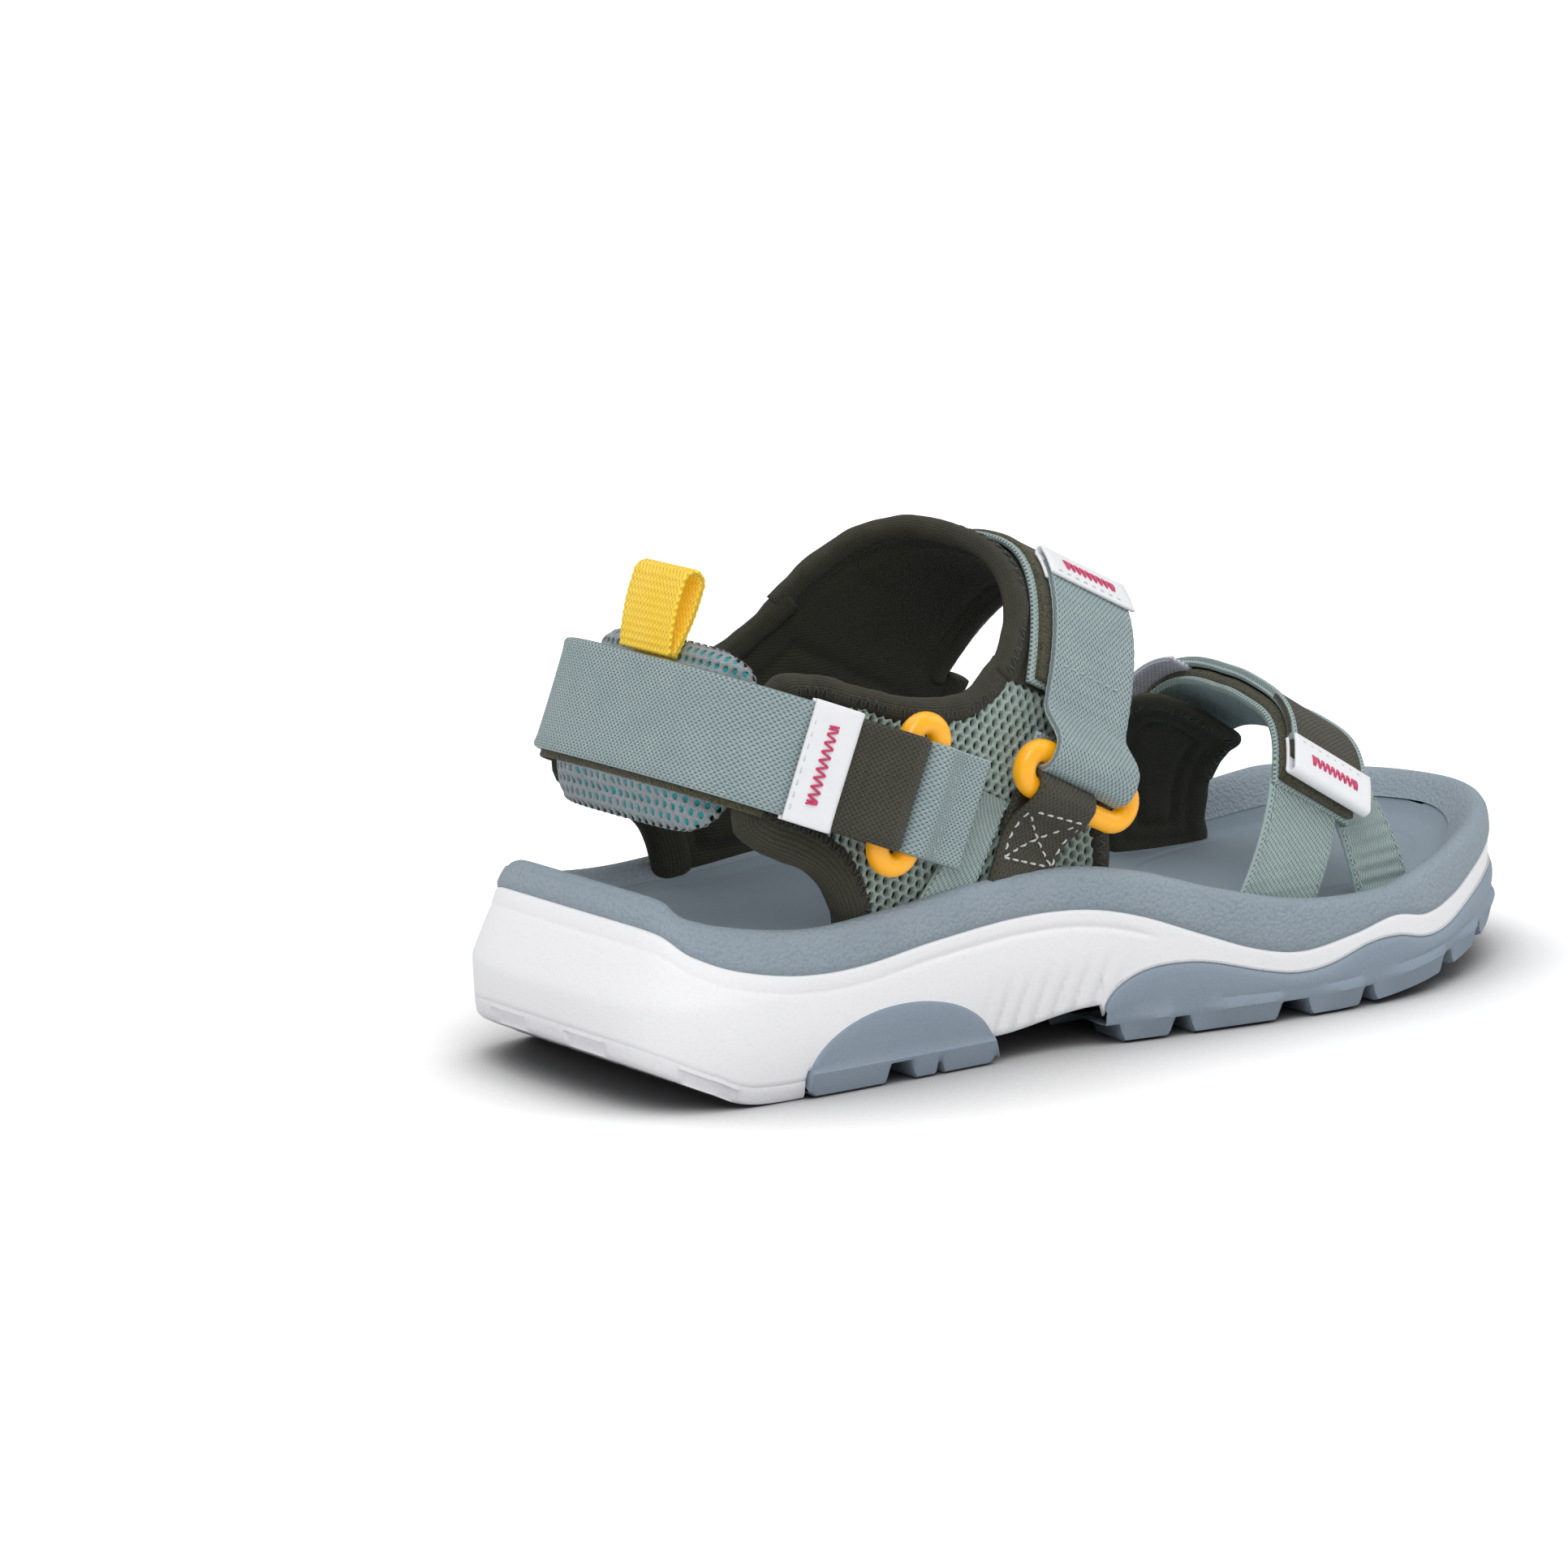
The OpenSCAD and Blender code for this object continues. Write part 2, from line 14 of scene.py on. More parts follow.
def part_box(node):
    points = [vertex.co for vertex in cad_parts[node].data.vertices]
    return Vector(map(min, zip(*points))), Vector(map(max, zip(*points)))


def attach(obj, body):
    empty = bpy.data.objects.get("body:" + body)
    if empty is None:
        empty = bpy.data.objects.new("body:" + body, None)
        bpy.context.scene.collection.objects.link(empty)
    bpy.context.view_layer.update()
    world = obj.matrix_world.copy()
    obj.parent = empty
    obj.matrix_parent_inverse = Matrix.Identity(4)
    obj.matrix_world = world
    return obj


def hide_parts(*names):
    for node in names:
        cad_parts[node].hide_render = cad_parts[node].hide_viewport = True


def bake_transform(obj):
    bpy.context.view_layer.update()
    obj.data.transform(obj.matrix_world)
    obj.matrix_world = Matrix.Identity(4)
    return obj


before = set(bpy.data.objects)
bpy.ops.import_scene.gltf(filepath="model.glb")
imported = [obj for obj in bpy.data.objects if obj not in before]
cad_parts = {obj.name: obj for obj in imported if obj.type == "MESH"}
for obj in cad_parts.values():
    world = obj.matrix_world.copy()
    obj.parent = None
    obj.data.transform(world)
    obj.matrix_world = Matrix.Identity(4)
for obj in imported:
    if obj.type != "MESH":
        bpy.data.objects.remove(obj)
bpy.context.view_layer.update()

MM = 0.001
SOLE_LO, SOLE_HI = (np.array(c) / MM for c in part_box("midsole"))
HEEL_X = SOLE_LO[0]
SOLE_L = SOLE_HI[0] - SOLE_LO[0]
HEEL_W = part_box("heel_pod")[1].y / MM
PULL_W = (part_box("pull_loop")[1].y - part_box("pull_loop")[0].y) / MM
RING_R = (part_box("lateral_ankle_ring")[1].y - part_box("lateral_ankle_ring")[0].y) / MM / 2


# --- Small tools -------------------------------------------------------------
def unit(v):
    return v / np.linalg.norm(v, axis=-1, keepdims=True)


def smooth(a, b, x):
    t = np.clip((x - a) / (b - a), 0, 1)
    return t * t * (3 - 2 * t)


def squarish(v, power):
    """A sine or cosine made squarer (power below 1), with its sign kept."""
    return np.sign(v) * np.abs(v) ** power


def lengths(line):
    """Length along a line up to each of its points."""
    return np.concatenate([[0], np.cumsum(np.linalg.norm(np.diff(line, axis=0), axis=1))])


def catmull(points, step, closed=False):
    """Smooth curve through points, resampled to an even step."""
    p = np.asarray(points, float)
    if closed:
        p = np.concatenate([p[-1:], p, p[:2]])
    else:
        p = np.concatenate([2 * p[:1] - p[1:2], p, 2 * p[-1:] - p[-2:-1]])
    t = np.linspace(0, 1, 24, endpoint=False)[:, None]
    parts = []
    for a, b, c, d in zip(p, p[1:], p[2:], p[3:]):
        parts.append(0.5 * (2 * b + (c - a) * t + (2 * a - 5 * b + 4 * c - d) * t ** 2
                            + (3 * b - a - 3 * c + d) * t ** 3))
    parts.append(p[-2:-1])
    return even(np.concatenate(parts), step, closed)


def even(line, step, closed=False):
    """A line resampled to an even step."""
    gaps = np.linalg.norm(np.diff(line, axis=0), axis=1)
    line = line[np.concatenate([[True], gaps > 1e-9])]
    at = lengths(line)
    n = max(2, int(round(at[-1] / step)) + 1)
    where = np.linspace(0, at[-1], n)
    if closed:
        where = where[:-1]
    return np.stack([np.interp(where, at, line[:, k]) for k in range(line.shape[1])], 1)


def inset(line, d):
    """A closed 2-D line moved to its left by d."""
    t = unit(np.roll(line, -1, 0) - np.roll(line, 1, 0))
    return line + np.reshape(d, (-1, 1)) * np.stack([-t[:, 1], t[:, 0]], 1)


def inside(poly, pts):
    """Which 2-D points are inside a closed outline."""
    x, y = pts[:, 0], pts[:, 1]
    hit = np.zeros(len(pts), bool)
    for (x0, y0), (x1, y1) in zip(poly, np.roll(poly, -1, 0)):
        if y0 != y1:
            hit ^= ((y0 > y) != (y1 > y)) & (x < (x1 - x0) * (y - y0) / (y1 - y0) + x0)
    return hit


def distance(poly, pts):
    """Distance from 2-D points to a closed outline."""
    a, b = poly, np.roll(poly, -1, 0)
    ab = b - a
    out = np.full(len(pts), 1e9)
    for start, edge in zip(a, ab):
        t = np.clip(((pts - start) @ edge) / max(edge @ edge, 1e-12), 0, 1)
        out = np.minimum(out, np.linalg.norm(pts - start - t[:, None] * edge, axis=1))
    return out


def wobble(p, size, amount, seed=0.0):
    """Slow, repeatable unevenness for fabric: one value per 3-D point."""
    q = p / size
    total = np.sin(q[..., 0] * 1.3 + q[..., 1] * 0.7 + seed)
    total = total + np.sin(q[..., 1] * 1.1 - q[..., 2] * 1.7 + 2.1 + seed * 1.7)
    total = total + np.sin(q[..., 2] * 0.9 + q[..., 0] * 1.9 + 4.2 - seed * 0.6)
    return amount * total / 3


class Shape:
    """Points, faces and texture coordinates of one piece, in millimetres."""

    def __init__(self):
        self.points, self.uv, self.faces, self.count = [], [], [], 0

    def add(self, points, faces, uv=None):
        points = np.asarray(points, float).reshape(-1, 3)
        self.points.append(points)
        self.uv.append(np.zeros((len(points), 2)) if uv is None else np.asarray(uv).reshape(-1, 2))
        self.faces.extend([tuple(int(i) + self.count for i in f) for f in faces])
        self.count += len(points)

    def grid(self, p, uv=None, wrap_rows=False, wrap_cols=False, cap_rows=False):
        rows, cols = p.shape[:2]
        r = np.arange(rows if wrap_rows else rows - 1)[:, None]
        c = np.arange(cols if wrap_cols else cols - 1)[None, :]
        r2, c2 = (r + 1) % rows, (c + 1) % cols
        quads = np.stack([r * cols + c, r * cols + c2, r2 * cols + c2, r2 * cols + c], -1)
        faces = [tuple(q) for q in quads.reshape(-1, 4)]
        if cap_rows:
            faces.append(tuple(range(cols))[::-1])
            faces.append(tuple(range((rows - 1) * cols, rows * cols)))
        self.add(p, faces, uv)


def make(name, shape, look, replaces=(), body="sandal", sharp=None):
    """Turns a Shape into a piece that rides on a CAD body. With no body, the piece is left loose and the
    caller bakes its placement into the mesh.
    """
    pts = np.concatenate(shape.points) + np.array([HEEL_X, 0, 0])
    mesh = bpy.data.meshes.new(name)
    mesh.from_pydata((pts * MM).tolist(), [], shape.faces)
    layer = mesh.uv_layers.new(name="mm")
    corner = np.zeros(len(mesh.loops), np.int32)
    mesh.loops.foreach_get("vertex_index", corner)
    layer.data.foreach_set("uv", np.concatenate(shape.uv)[corner].astype(np.float32).ravel())
    mesh.materials.append(look)
    mesh.polygons.foreach_set("use_smooth", [True] * len(mesh.polygons))
    if sharp:
        mesh.set_sharp_from_angle(angle=math.radians(sharp))
    mesh.update()
    piece = bpy.data.objects.new(name, mesh)
    bpy.context.scene.collection.objects.link(piece)
    if body:
        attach(piece, body)
    if replaces:
        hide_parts(*replaces)
    return piece


def metres(p):
    """A place in mm from the heel, in the frame's metres."""
    return tuple((np.asarray(p) + np.array([HEEL_X, 0, 0])) * MM)


# --- Surfaces that the upper lies on -----------------------------------------
class Arch:
    """A constant arch swept along a slope. Place: s along the slope, u round the arch
    (0 lateral to 180 medial; beyond that the legs run straight down by so many mm) and o
    outwards from the inner face."""

    def __init__(self, tilt, half, side, spring, rise):
        self.cos, self.sin = math.cos(math.radians(tilt)), math.sin(math.radians(tilt))
        self.half, self.side, self.spring, self.rise = half, side, spring, rise
        self.axis = np.array([self.cos, 0, -self.sin])
        self.u_table = np.linspace(-70, 250, 3201)
        self.l_table = lengths(np.stack(self.section(self.u_table, 2.0), 1))

    def base(self, u):
        k = np.radians(np.clip(u, 0, 180))
        drop = np.where(u < 0, -u, np.maximum(0, u - 180))
        c = np.cos(k)
        y = self.side - self.half * squarish(c, 0.77)
        return y, self.spring + self.rise * np.abs(np.sin(k)) ** 0.91 - drop

    def normal(self, u):
        (y0, w0), (y1, w1) = self.base(u - 0.5), self.base(u + 0.5)
        length = np.hypot(y1 - y0, w1 - w0)
        return -(w1 - w0) / length, (y1 - y0) / length

    def section(self, u, o):
        u = np.asarray(u, float)
        y, w = self.base(u)
        ny, nw = self.normal(u)
        return y + o * ny, w + o * nw

    def world(self, s, y, w):
        s, y, w = np.broadcast_arrays(s, y, w)
        return np.stack([s * self.cos + w * self.sin, y, -s * self.sin + w * self.cos], -1)

    def at(self, s, u, o):
        y, w = self.section(u, o)
        return self.world(s, y, w)

    def out(self, u):
        y, w = self.normal(np.asarray(u, float))
        return self.world(0, y, w)

    def l_of_u(self, u):
        return np.interp(u, self.u_table, self.l_table)

    def u_of_l(self, length):
        return np.interp(length, self.l_table, self.u_table)

    def u_at_height(self, w):
        rise = np.clip((w - self.spring) / self.rise, 0, 1) ** (1 / 0.91)
        return np.where(w < self.spring, w - self.spring, np.degrees(np.arcsin(rise)))

    def side_place(self, xz):
        """(s, u) of a point given in the side view."""
        xz = np.asarray(xz, float)
        s = xz[..., 0] * self.cos - xz[..., 1] * self.sin
        return s, self.u_at_height(xz[..., 0] * self.sin + xz[..., 1] * self.cos)

    def side_view(self, s, u):
        p = self.at(s, u, 2.0)
        return np.stack([p[..., 0], p[..., 2]], -1)


class HeelLoop:
    """The rounded-square line round the heel, tilted. Place: v from -90 lateral to 90
    medial, h across the tilt and o outwards."""

    def __init__(self, tilt, back, half, run, square):
        self.cos, self.sin = math.cos(math.radians(tilt)), math.sin(math.radians(tilt))
        self.back, self.half, self.run, self.square = back, half, run, square
        self.axis = np.array([self.sin, 0, self.cos])
        self.v_table = np.linspace(-90, 90, 1801)
        self.l_table = lengths(np.stack(self.base(self.v_table), 1))
        self.l_table -= self.l_table[900]

    def base(self, v):
        k = np.radians(np.clip(v, -90, 90))
        x = self.back + self.run * (1 - np.abs(np.cos(k)) ** self.square)
        return x, self.half * squarish(np.sin(k), self.square)

    def normal(self, v):
        (x0, y0), (x1, y1) = self.base(np.asarray(v) - 0.8), self.base(np.asarray(v) + 0.8)
        length = np.hypot(x1 - x0, y1 - y0) + 1e-9
        return -(y1 - y0) / length, (x1 - x0) / length

    def plan(self, v, o):
        x, y = self.base(v)
        nx, ny = self.normal(v)
        return x + o * nx, y + o * ny

    def world(self, x, y, h):
        x, y, h = np.broadcast_arrays(x, y, h)
        return np.stack([x * self.cos + h * self.sin, y, -x * self.sin + h * self.cos], -1)

    def at(self, v, h, o):
        x, y = self.plan(v, o)
        return self.world(x, y, h)

    def v_of_l(self, length):
        return np.interp(length, self.l_table, self.v_table)


ANKLE = Arch(26, 36, 0, 68, 90)
TOE = Arch(30, 43, -2.3, 112, 54)
HEEL = HeelLoop(21, -7.5, 45.3, 46.3, 0.55)
WEB_W = 27.5
SEAM_U = 42
FLIP = np.array([1, -1, 1])


# --- Looks ---------------------------------------------------------------------
def linear(code):
    rgb = [int(code[i:i + 2], 16) / 255 for i in (0, 2, 4)]
    return [c / 12.92 if c <= 0.04045 else ((c + 0.055) / 1.055) ** 2.4 for c in rgb] + [1]


class Val:
    """One shader value; arithmetic on it adds math nodes."""

    def __init__(self, tree, socket):
        self.tree, self.socket = tree, socket

    def op(self, kind, *others):
        node = self.tree.nodes.new("ShaderNodeMath")
        node.operation = kind
        for k, value in enumerate((self,) + others):
            if isinstance(value, Val):
                self.tree.links.new(value.socket, node.inputs[k])
            else:
                node.inputs[k].default_value = value
        return Val(self.tree, node.outputs[0])

    def __add__(self, other):
        return self.op("ADD", other)

    def __sub__(self, other):
        return self.op("SUBTRACT", other)

    def __mul__(self, other):
        return self.op("MULTIPLY", other)

    def __truediv__(self, other):
        return self.op("DIVIDE", other)

    def __pow__(self, other):
        return self.op("POWER", other)

    def floor(self):
        return self.op("FLOOR")

    def part(self):
        return self.op("FRACT")

    def size(self):
        return self.op("ABSOLUTE")

    def sin(self):
        return self.op("SINE")

    def clip(self):
        return self.op("MAXIMUM", 0.0).op("MINIMUM", 1.0)

    def inverse(self):
        return self.op("MULTIPLY_ADD", -1.0, 1.0)


class Look:
    """A procedural material. Its texture coordinates are millimetres."""

    def __init__(self, name, rough=0.7, sheen=0.0, coat=0.0, glow=0.0, spec=0.4):
        self.mat = bpy.data.materials.new(name)
        self.mat.use_nodes = True
        self.tree = self.mat.node_tree
        self.bsdf = self.tree.nodes["Principled BSDF"]
        self.set("Roughness", rough)
        self.set("Specular IOR Level", spec)
        self.set("Sheen Weight", sheen)
        self.set("Sheen Roughness", 0.6)
        self.set("Coat Weight", coat)
        self.set("Coat Roughness", 0.25)
        self.set("Subsurface Weight", glow)
        self.set("Subsurface Scale", 0.002)

    def node(self, kind):
        return self.tree.nodes.new(kind)

    def link(self, output, target):
        self.tree.links.new(output, target)

    def set(self, name, value):
        target = self.bsdf.inputs[name]
        if isinstance(value, Val):
            self.link(value.socket, target)
        else:
            target.default_value = value

    def weave_place(self):
        node = self.node("ShaderNodeUVMap")
        node.uv_map = "mm"
        split = self.node("ShaderNodeSeparateXYZ")
        self.link(node.outputs[0], split.inputs[0])
        return Val(self.tree, split.outputs[0]), Val(self.tree, split.outputs[1])

    def noise(self, grain, detail=3.0, stretch=(1, 1, 1)):
        """Noise whose grain is given in mm, from the place on the object."""
        node = self.texture("ShaderNodeTexNoise", grain, stretch)
        node.inputs["Detail"].default_value = detail
        return Val(self.tree, node.outputs[0])

    def cells(self, grain):
        return Val(self.tree, self.texture("ShaderNodeTexVoronoi", grain, (1, 1, 1)).outputs[0])

    def texture(self, kind, grain, stretch):
        coords = self.node("ShaderNodeTexCoord")
        scale = self.node("ShaderNodeMapping")
        scale.inputs["Scale"].default_value = [1 / (grain * MM) * k for k in stretch]
        node = self.node(kind)
        node.inputs["Scale"].default_value = 1.0
        self.link(coords.outputs["Object"], scale.inputs[0])
        self.link(scale.outputs[0], node.inputs["Vector"])
        return node

    def colour(self, base, *layers):
        """Base colour with layers of (share, colour) laid over it."""
        current = None
        for share, code in layers:
            node = self.node("ShaderNodeMix")
            node.data_type = "RGBA"
            if current is None:
                node.inputs[6].default_value = linear(base)
            else:
                self.link(current, node.inputs[6])
            node.inputs[7].default_value = linear(code)
            self.link(share.socket, node.inputs[0])
            current = node.outputs[2]
        self.link(current, self.bsdf.inputs["Base Color"])

    def relief(self, height, depth):
        """Bump whose full height is depth in mm."""
        node = self.node("ShaderNodeBump")
        node.inputs["Distance"].default_value = depth * MM
        node.inputs["Strength"].default_value = 1.0
        self.link(height.socket, node.inputs["Height"])
        self.link(node.outputs[0], self.bsdf.inputs["Normal"])


def weave(look, long_pitch, cross_pitch):
    """Gap mask and thread relief of a plain weave laid in bricks."""
    u, v = look.weave_place()
    row = (v / cross_pitch).floor()
    cu = (u / long_pitch + row * 0.5).part() - 0.5
    cv = (v / cross_pitch).part() - 0.5
    reach = ((cu / 0.34) ** 2.0 + (cv / 0.26) ** 2.0) ** 0.5
    gap = (reach.inverse() * 1.5).clip()
    cord = (cv * 2.0).op("MULTIPLY", cv * 2.0).inverse()
    return gap, cord


def webbing(name, base, dark, light, long_pitch=1.5, painted_glow=0.0):
    """Plain woven webbing; a bright one can be given a painted glow, emission of its own base colour."""
    look = Look(name, 0.75, sheen=0.1)
    # Painted glow: the webbing emits its own base colour at the given strength (none by default), though it
    # is no lamp.
    look.set("Emission Color", linear(base))
    look.set("Emission Strength", painted_glow)
    gap, cord = weave(look, long_pitch, 0.66)
    patches = look.noise(9.0)
    fibres = look.noise(0.5, 2.0)
    look.colour(base, ((patches - 0.35).clip() * 0.5, light), ((fibres - 0.5).clip() * 1.6, light),
                (gap * 0.95, dark))
    look.relief(cord * 0.6 + fibres * 0.25 - gap * 1.0, 0.34)
    return look.mat


def knit(name, base, dark, light, wale, course):
    """Fine knit: columns of small V stitches."""
    look = Look(name, 0.85, sheen=0.1, spec=0.2)
    u, v = look.weave_place()
    arms = ((v / wale).part() - 0.5).size()
    stitch = (u / course + arms * 1.3).part() - 0.5
    dip = (stitch.size() * 2.0) ** 2.0
    gap = (arms.inverse() ** 6.0 + dip * 0.7).clip()
    patches = look.noise(6.0)
    fibres = look.noise(0.35, 2.0)
    look.colour(base, ((patches - 0.3).clip() * 0.5, light), (gap * 0.65, dark),
                ((fibres - 0.5).clip() * 1.2, light))
    look.relief(fibres * 0.3 - gap * 0.7, 0.22)
    return look.mat


def foam(name, base, dark, light, grain, depth, rough=0.62, sheen=0.0):
    """Moulded foam with a pebbled skin."""
    look = Look(name, rough, sheen=sheen, spec=0.35)
    pebbles = look.cells(grain)
    fine = look.noise(grain * 0.45, 2.0)
    patches = look.noise(22.0)
    look.colour(base, ((patches - 0.4).clip() * 0.6, light), ((pebbles - 0.45).clip() * 0.55, dark),
                ((fine - 0.55).clip() * 0.8, light))
    look.set("Roughness", fine * 0.15 + (rough - 0.06))
    look.relief(pebbles * -0.8 + fine * 0.5, depth)
    return look.mat


def plastic(name, base, deep, light, rough, glow):
    """Glossy moulded plastic that lets some light in, with a painted glow of its own colour."""
    look = Look(name, rough, coat=0.35, glow=glow, spec=0.5)
    # Painted glow: the plastic emits its base colour at strength 0.16, though it is no lamp.
    look.set("Emission Color", linear(base))
    look.set("Emission Strength", 0.16)
    flow = look.noise(7.0, 2.0)
    scuffs = look.noise(0.8, 4.0, (1, 1, 3))
    look.colour(base, ((flow - 0.4).clip() * 1.2, deep), ((scuffs - 0.62).clip() * 1.5, light))
    look.set("Roughness", scuffs * 0.25 + (rough - 0.1))
    look.relief(flow + scuffs * 0.1, 0.08)
    return look.mat


def pile(name, base, dark, light):
    """Loop pile: a fuzzy bed of tiny loops."""
    look = Look(name, 0.95, sheen=0.2, spec=0.15)
    loops = look.cells(0.55)
    fuzz = look.noise(0.4, 3.0)
    patches = look.noise(5.0)
    look.colour(base, ((patches - 0.35).clip() * 0.8, light), ((loops - 0.35).clip() * 1.5, dark),
                ((fuzz - 0.52).clip() * 2.5, light))
    look.relief(loops * -0.7 + fuzz * 0.8, 0.5)
    return look.mat


def thread_look(name, base, dark):
    """Twisted sewing thread."""
    look = Look(name, 0.5, sheen=0.3)
    u, v = look.weave_place()
    ply = ((u * 5.0 + v * 1.5).sin() * 0.5 + 0.5).clip()
    look.colour(base, (ply * 0.35, dark))
    look.relief(ply, 0.08)
    return look.mat


def air_mesh(name, base, dark, light):
    """Soft strands of a spacer mesh."""
    look = Look(name, 0.8, sheen=0.3, spec=0.25)
    strands = look.noise(0.45, 2.0, (1.0, 1.0, 2.2))
    loops = look.cells(0.6)
    patches = look.noise(8.0)
    look.colour(base, ((patches - 0.35).clip() * 0.6, light), ((loops - 0.5).clip() * 1.2, dark),
                ((strands - 0.52).clip() * 2.2, light))
    look.relief(strands * 0.7 - loops * 0.6, 0.35)
    return look.mat


def film(name):
    """Satin folded film of the tabs."""
    look = Look(name, 0.42, glow=0.12, spec=0.45)
    grain = look.noise(0.35, 2.0)
    creases = look.noise(4.0, 3.0)
    look.colour("f4f4f7", ((creases - 0.5).clip() * 0.8, "dfe1e8"))
    look.relief(grain * 0.2 + creases, 0.18)
    return look.mat


RIM = foam("rim_foam", "97a4ae", "758490", "b1bcc5", 1.0, 0.42)
FOOTBED = foam("footbed_foam", "8796a2", "74838f", "9aa7b1", 0.6, 0.05, 0.7, 0.1)
WHITE = foam("white_foam", "fafafc", "ebebf0", "ffffff", 0.8, 0.06, 0.5)
TREAD = foam("white_rubber", "f6f6f9", "e2e2e8", "fdfdfe", 1.1, 0.06, 0.5)
RUBBER = foam("blue_rubber", "8f9dab", "768492", "a2aeb9", 0.5, 0.04, 0.55)
SILVER = foam("edge_line", "c9ccd0", "8f9398", "e8eaec", 0.6, 0.03, 0.3)
GREY_WEB = webbing("grey_webbing", "a0b4b6", "465a5f", "cad8d8")
SAGE_WEB = webbing("sage_webbing", "a5bbb8", "4f6664", "ccdad6", long_pitch=1.2)
OLIVE_WEB = webbing("olive_webbing", "413f31", "13130e", "625f4c")
PALE_WEB = webbing("pale_webbing", "e9ebf6", "a9afcc", "fafafd")
# The yellow webbing gets a painted glow: it emits its own colour at strength 0.2.
YELLOW_WEB = webbing("yellow_webbing", "ffd62e", "f0a812", "fff0a0", long_pitch=1.75, painted_glow=0.2)
KNIT = knit("olive_knit", "3d3d2f", "16160f", "5e5d4b", 0.62, 0.55)
PADDED = knit("olive_neoprene", "37372a", "191912", "4e4e3e", 0.8, 0.7)
PILE = pile("olive_pile", "474631", "201f15", "716e50")
SAGE_MESH = air_mesh("air_mesh", "9fb3ac", "66807c", "c9d8d2")
PAD_MESH = air_mesh("pad_mesh", "8f989e", "596166", "b8bfc4")
TEAL = foam("pad_core", "1fa6a6", "0c6d70", "4cc6c2", 1.2, 0.2, 0.8)
AMBER = plastic("amber_plastic", "ffb414", "fb9d06", "ffd468", 0.26, 0.05)
TAB = film("white_tab")
PINK = thread_look("pink_thread", "d8336d", "a01846")
PALE = thread_look("pale_thread", "d9dcd6", "a5aaa4")
DARK = thread_look("dark_thread", "12120e", "050504")
CREAM = thread_look("cream_thread", "fbe9b8", "e2bf76")
SAGE_THREAD = thread_look("sage_thread", "a9bcb9", "7d9290")


# --- Sole: plan outline and side curves, as in the CAD ---------------------------
WAIST_LAT = HEEL_W - 1
LAT, MED, WAIST_MED = 53, 50, 44.5
OUTLINE = catmull([(x * SOLE_L / 291, y) for x, y in [
    (0, 0), (3, -32), (18, -0.96 * HEEL_W), (45, -HEEL_W), (80, -(HEEL_W + WAIST_LAT) / 2),
    (118, -WAIST_LAT), (155, -0.45 * WAIST_LAT - 0.55 * LAT), (195, -LAT), (230, -0.96 * LAT),
    (260, -0.72 * LAT), (281, -0.36 * LAT), (291, 4), (284, 28), (265, 0.86 * MED),
    (238, 0.98 * MED), (200, MED), (160, (MED + WAIST_MED) / 2 + 1), (125, WAIST_MED),
    (88, (WAIST_MED + HEEL_W) / 2), (45, HEEL_W), (18, 0.96 * HEEL_W), (3, 32)]], 0.8, True)
INWARD = inset(OUTLINE, 1) - OUTLINE


def curve(*points):
    """A side curve z(x) through points."""
    line = catmull(points, 0.5)
    return lambda x: np.interp(x, line[:, 0], line[:, 1])


# Side curves z(x): the rim's lower edge, its top, the footbed, the outsole's top and the heel's bevel.
border = curve((-6, 44.4), (6, 40.6), (14, 36), (25, 32.2), (42, 29.3), (60, 29.3), (82, 32.2),
               (106, 34.2), (126, 33.8), (142, 30.5), (160, 24), (176, 18.5), (190, 16.3),
               (206, 18.4), (220, 21.2), (233, 19.6), (246, 22), (260, 26.4), (276, 29.5), (297, 29))
rim_top = curve((-6, 50.8), (6, 47), (14, 43.8), (24, 41.8), (46, 39.5), (70, 41), (95, 43.6),
                (122, 44.2), (143, 41), (165, 34.5), (190, 29), (216, 28), (237, 31.5),
                (263, 36), (280, 38.5), (297, 39))
footbed_top = curve((-6, 40), (25, 35), (60, 34.2), (100, 36.8), (125, 36.2), (150, 31), (175, 26),
                    (200, 23.4), (225, 23.6), (250, 26), (275, 29), (297, 31))
outsole_top = curve((131.5, 7), (133, 11), (137.5, 14.8), (144, 17.2), (152, 17.8), (162, 16.8),
                    (178, 12.8), (188, 11.2), (198, 12), (211, 15.6), (221, 16), (232, 14),
                    (242, 15), (256, 19.5), (272, 23), (297, 23.5))
heel_bevel = curve((-6, 13), (0, 12), (8, 8.5), (18, 4), (30, 0), (60, 0))
LUG_H = 4.5
ARCH_START, ARCH_END = 100, 131.5
LIP_IN, CUP_IN = 3.0, 14.0


def lift(x):
    """How far the toe springs up off the ground."""
    return 14 * (np.maximum(x - 200, 0) / 91) ** 1.6


def rim_high(x, y):
    """Top of the rim: higher along the inner side of the toes."""
    return rim_top(x) + 4.3 * smooth(5, 32, y) * smooth(150, 195, x) * (1 - smooth(255, 284, x))


def cup_height(x, y, d):
    """Top of the rim and footbed at distance d in from the outline."""
    floor = footbed_top(x)
    return floor + (rim_high(x, y) - floor) * (1 - smooth(LIP_IN, CUP_IN, d))


def edge_at(x, side, d=0.0):
    """Half width of the outline, moved in by d, at x."""
    line = inset(OUTLINE, d)
    line = line[(line[:, 1] < 0) if side < 0 else (line[:, 1] > 0)]
    order = np.argsort(line[:, 0])
    return np.interp(x, line[order, 0], line[order, 1])


def lean(x, z):
    """How far the wall leans in at the back of the heel."""
    return 0.34 * np.maximum(z - 25, 0) * (1 - smooth(14, 48, x))


def wall(rows, keep=None):
    """Grid round the outline; each row is (inset, height) per station."""
    where = np.arange(len(OUTLINE)) if keep is None else keep
    out = []
    for d, z in rows:
        z = np.broadcast_to(z, len(where))
        d = np.broadcast_to(d, len(where)) + lean(OUTLINE[where, 0], z)
        out.append(np.column_stack([OUTLINE[where] + INWARD[where] * d[:, None], z]))
    return np.array(out)


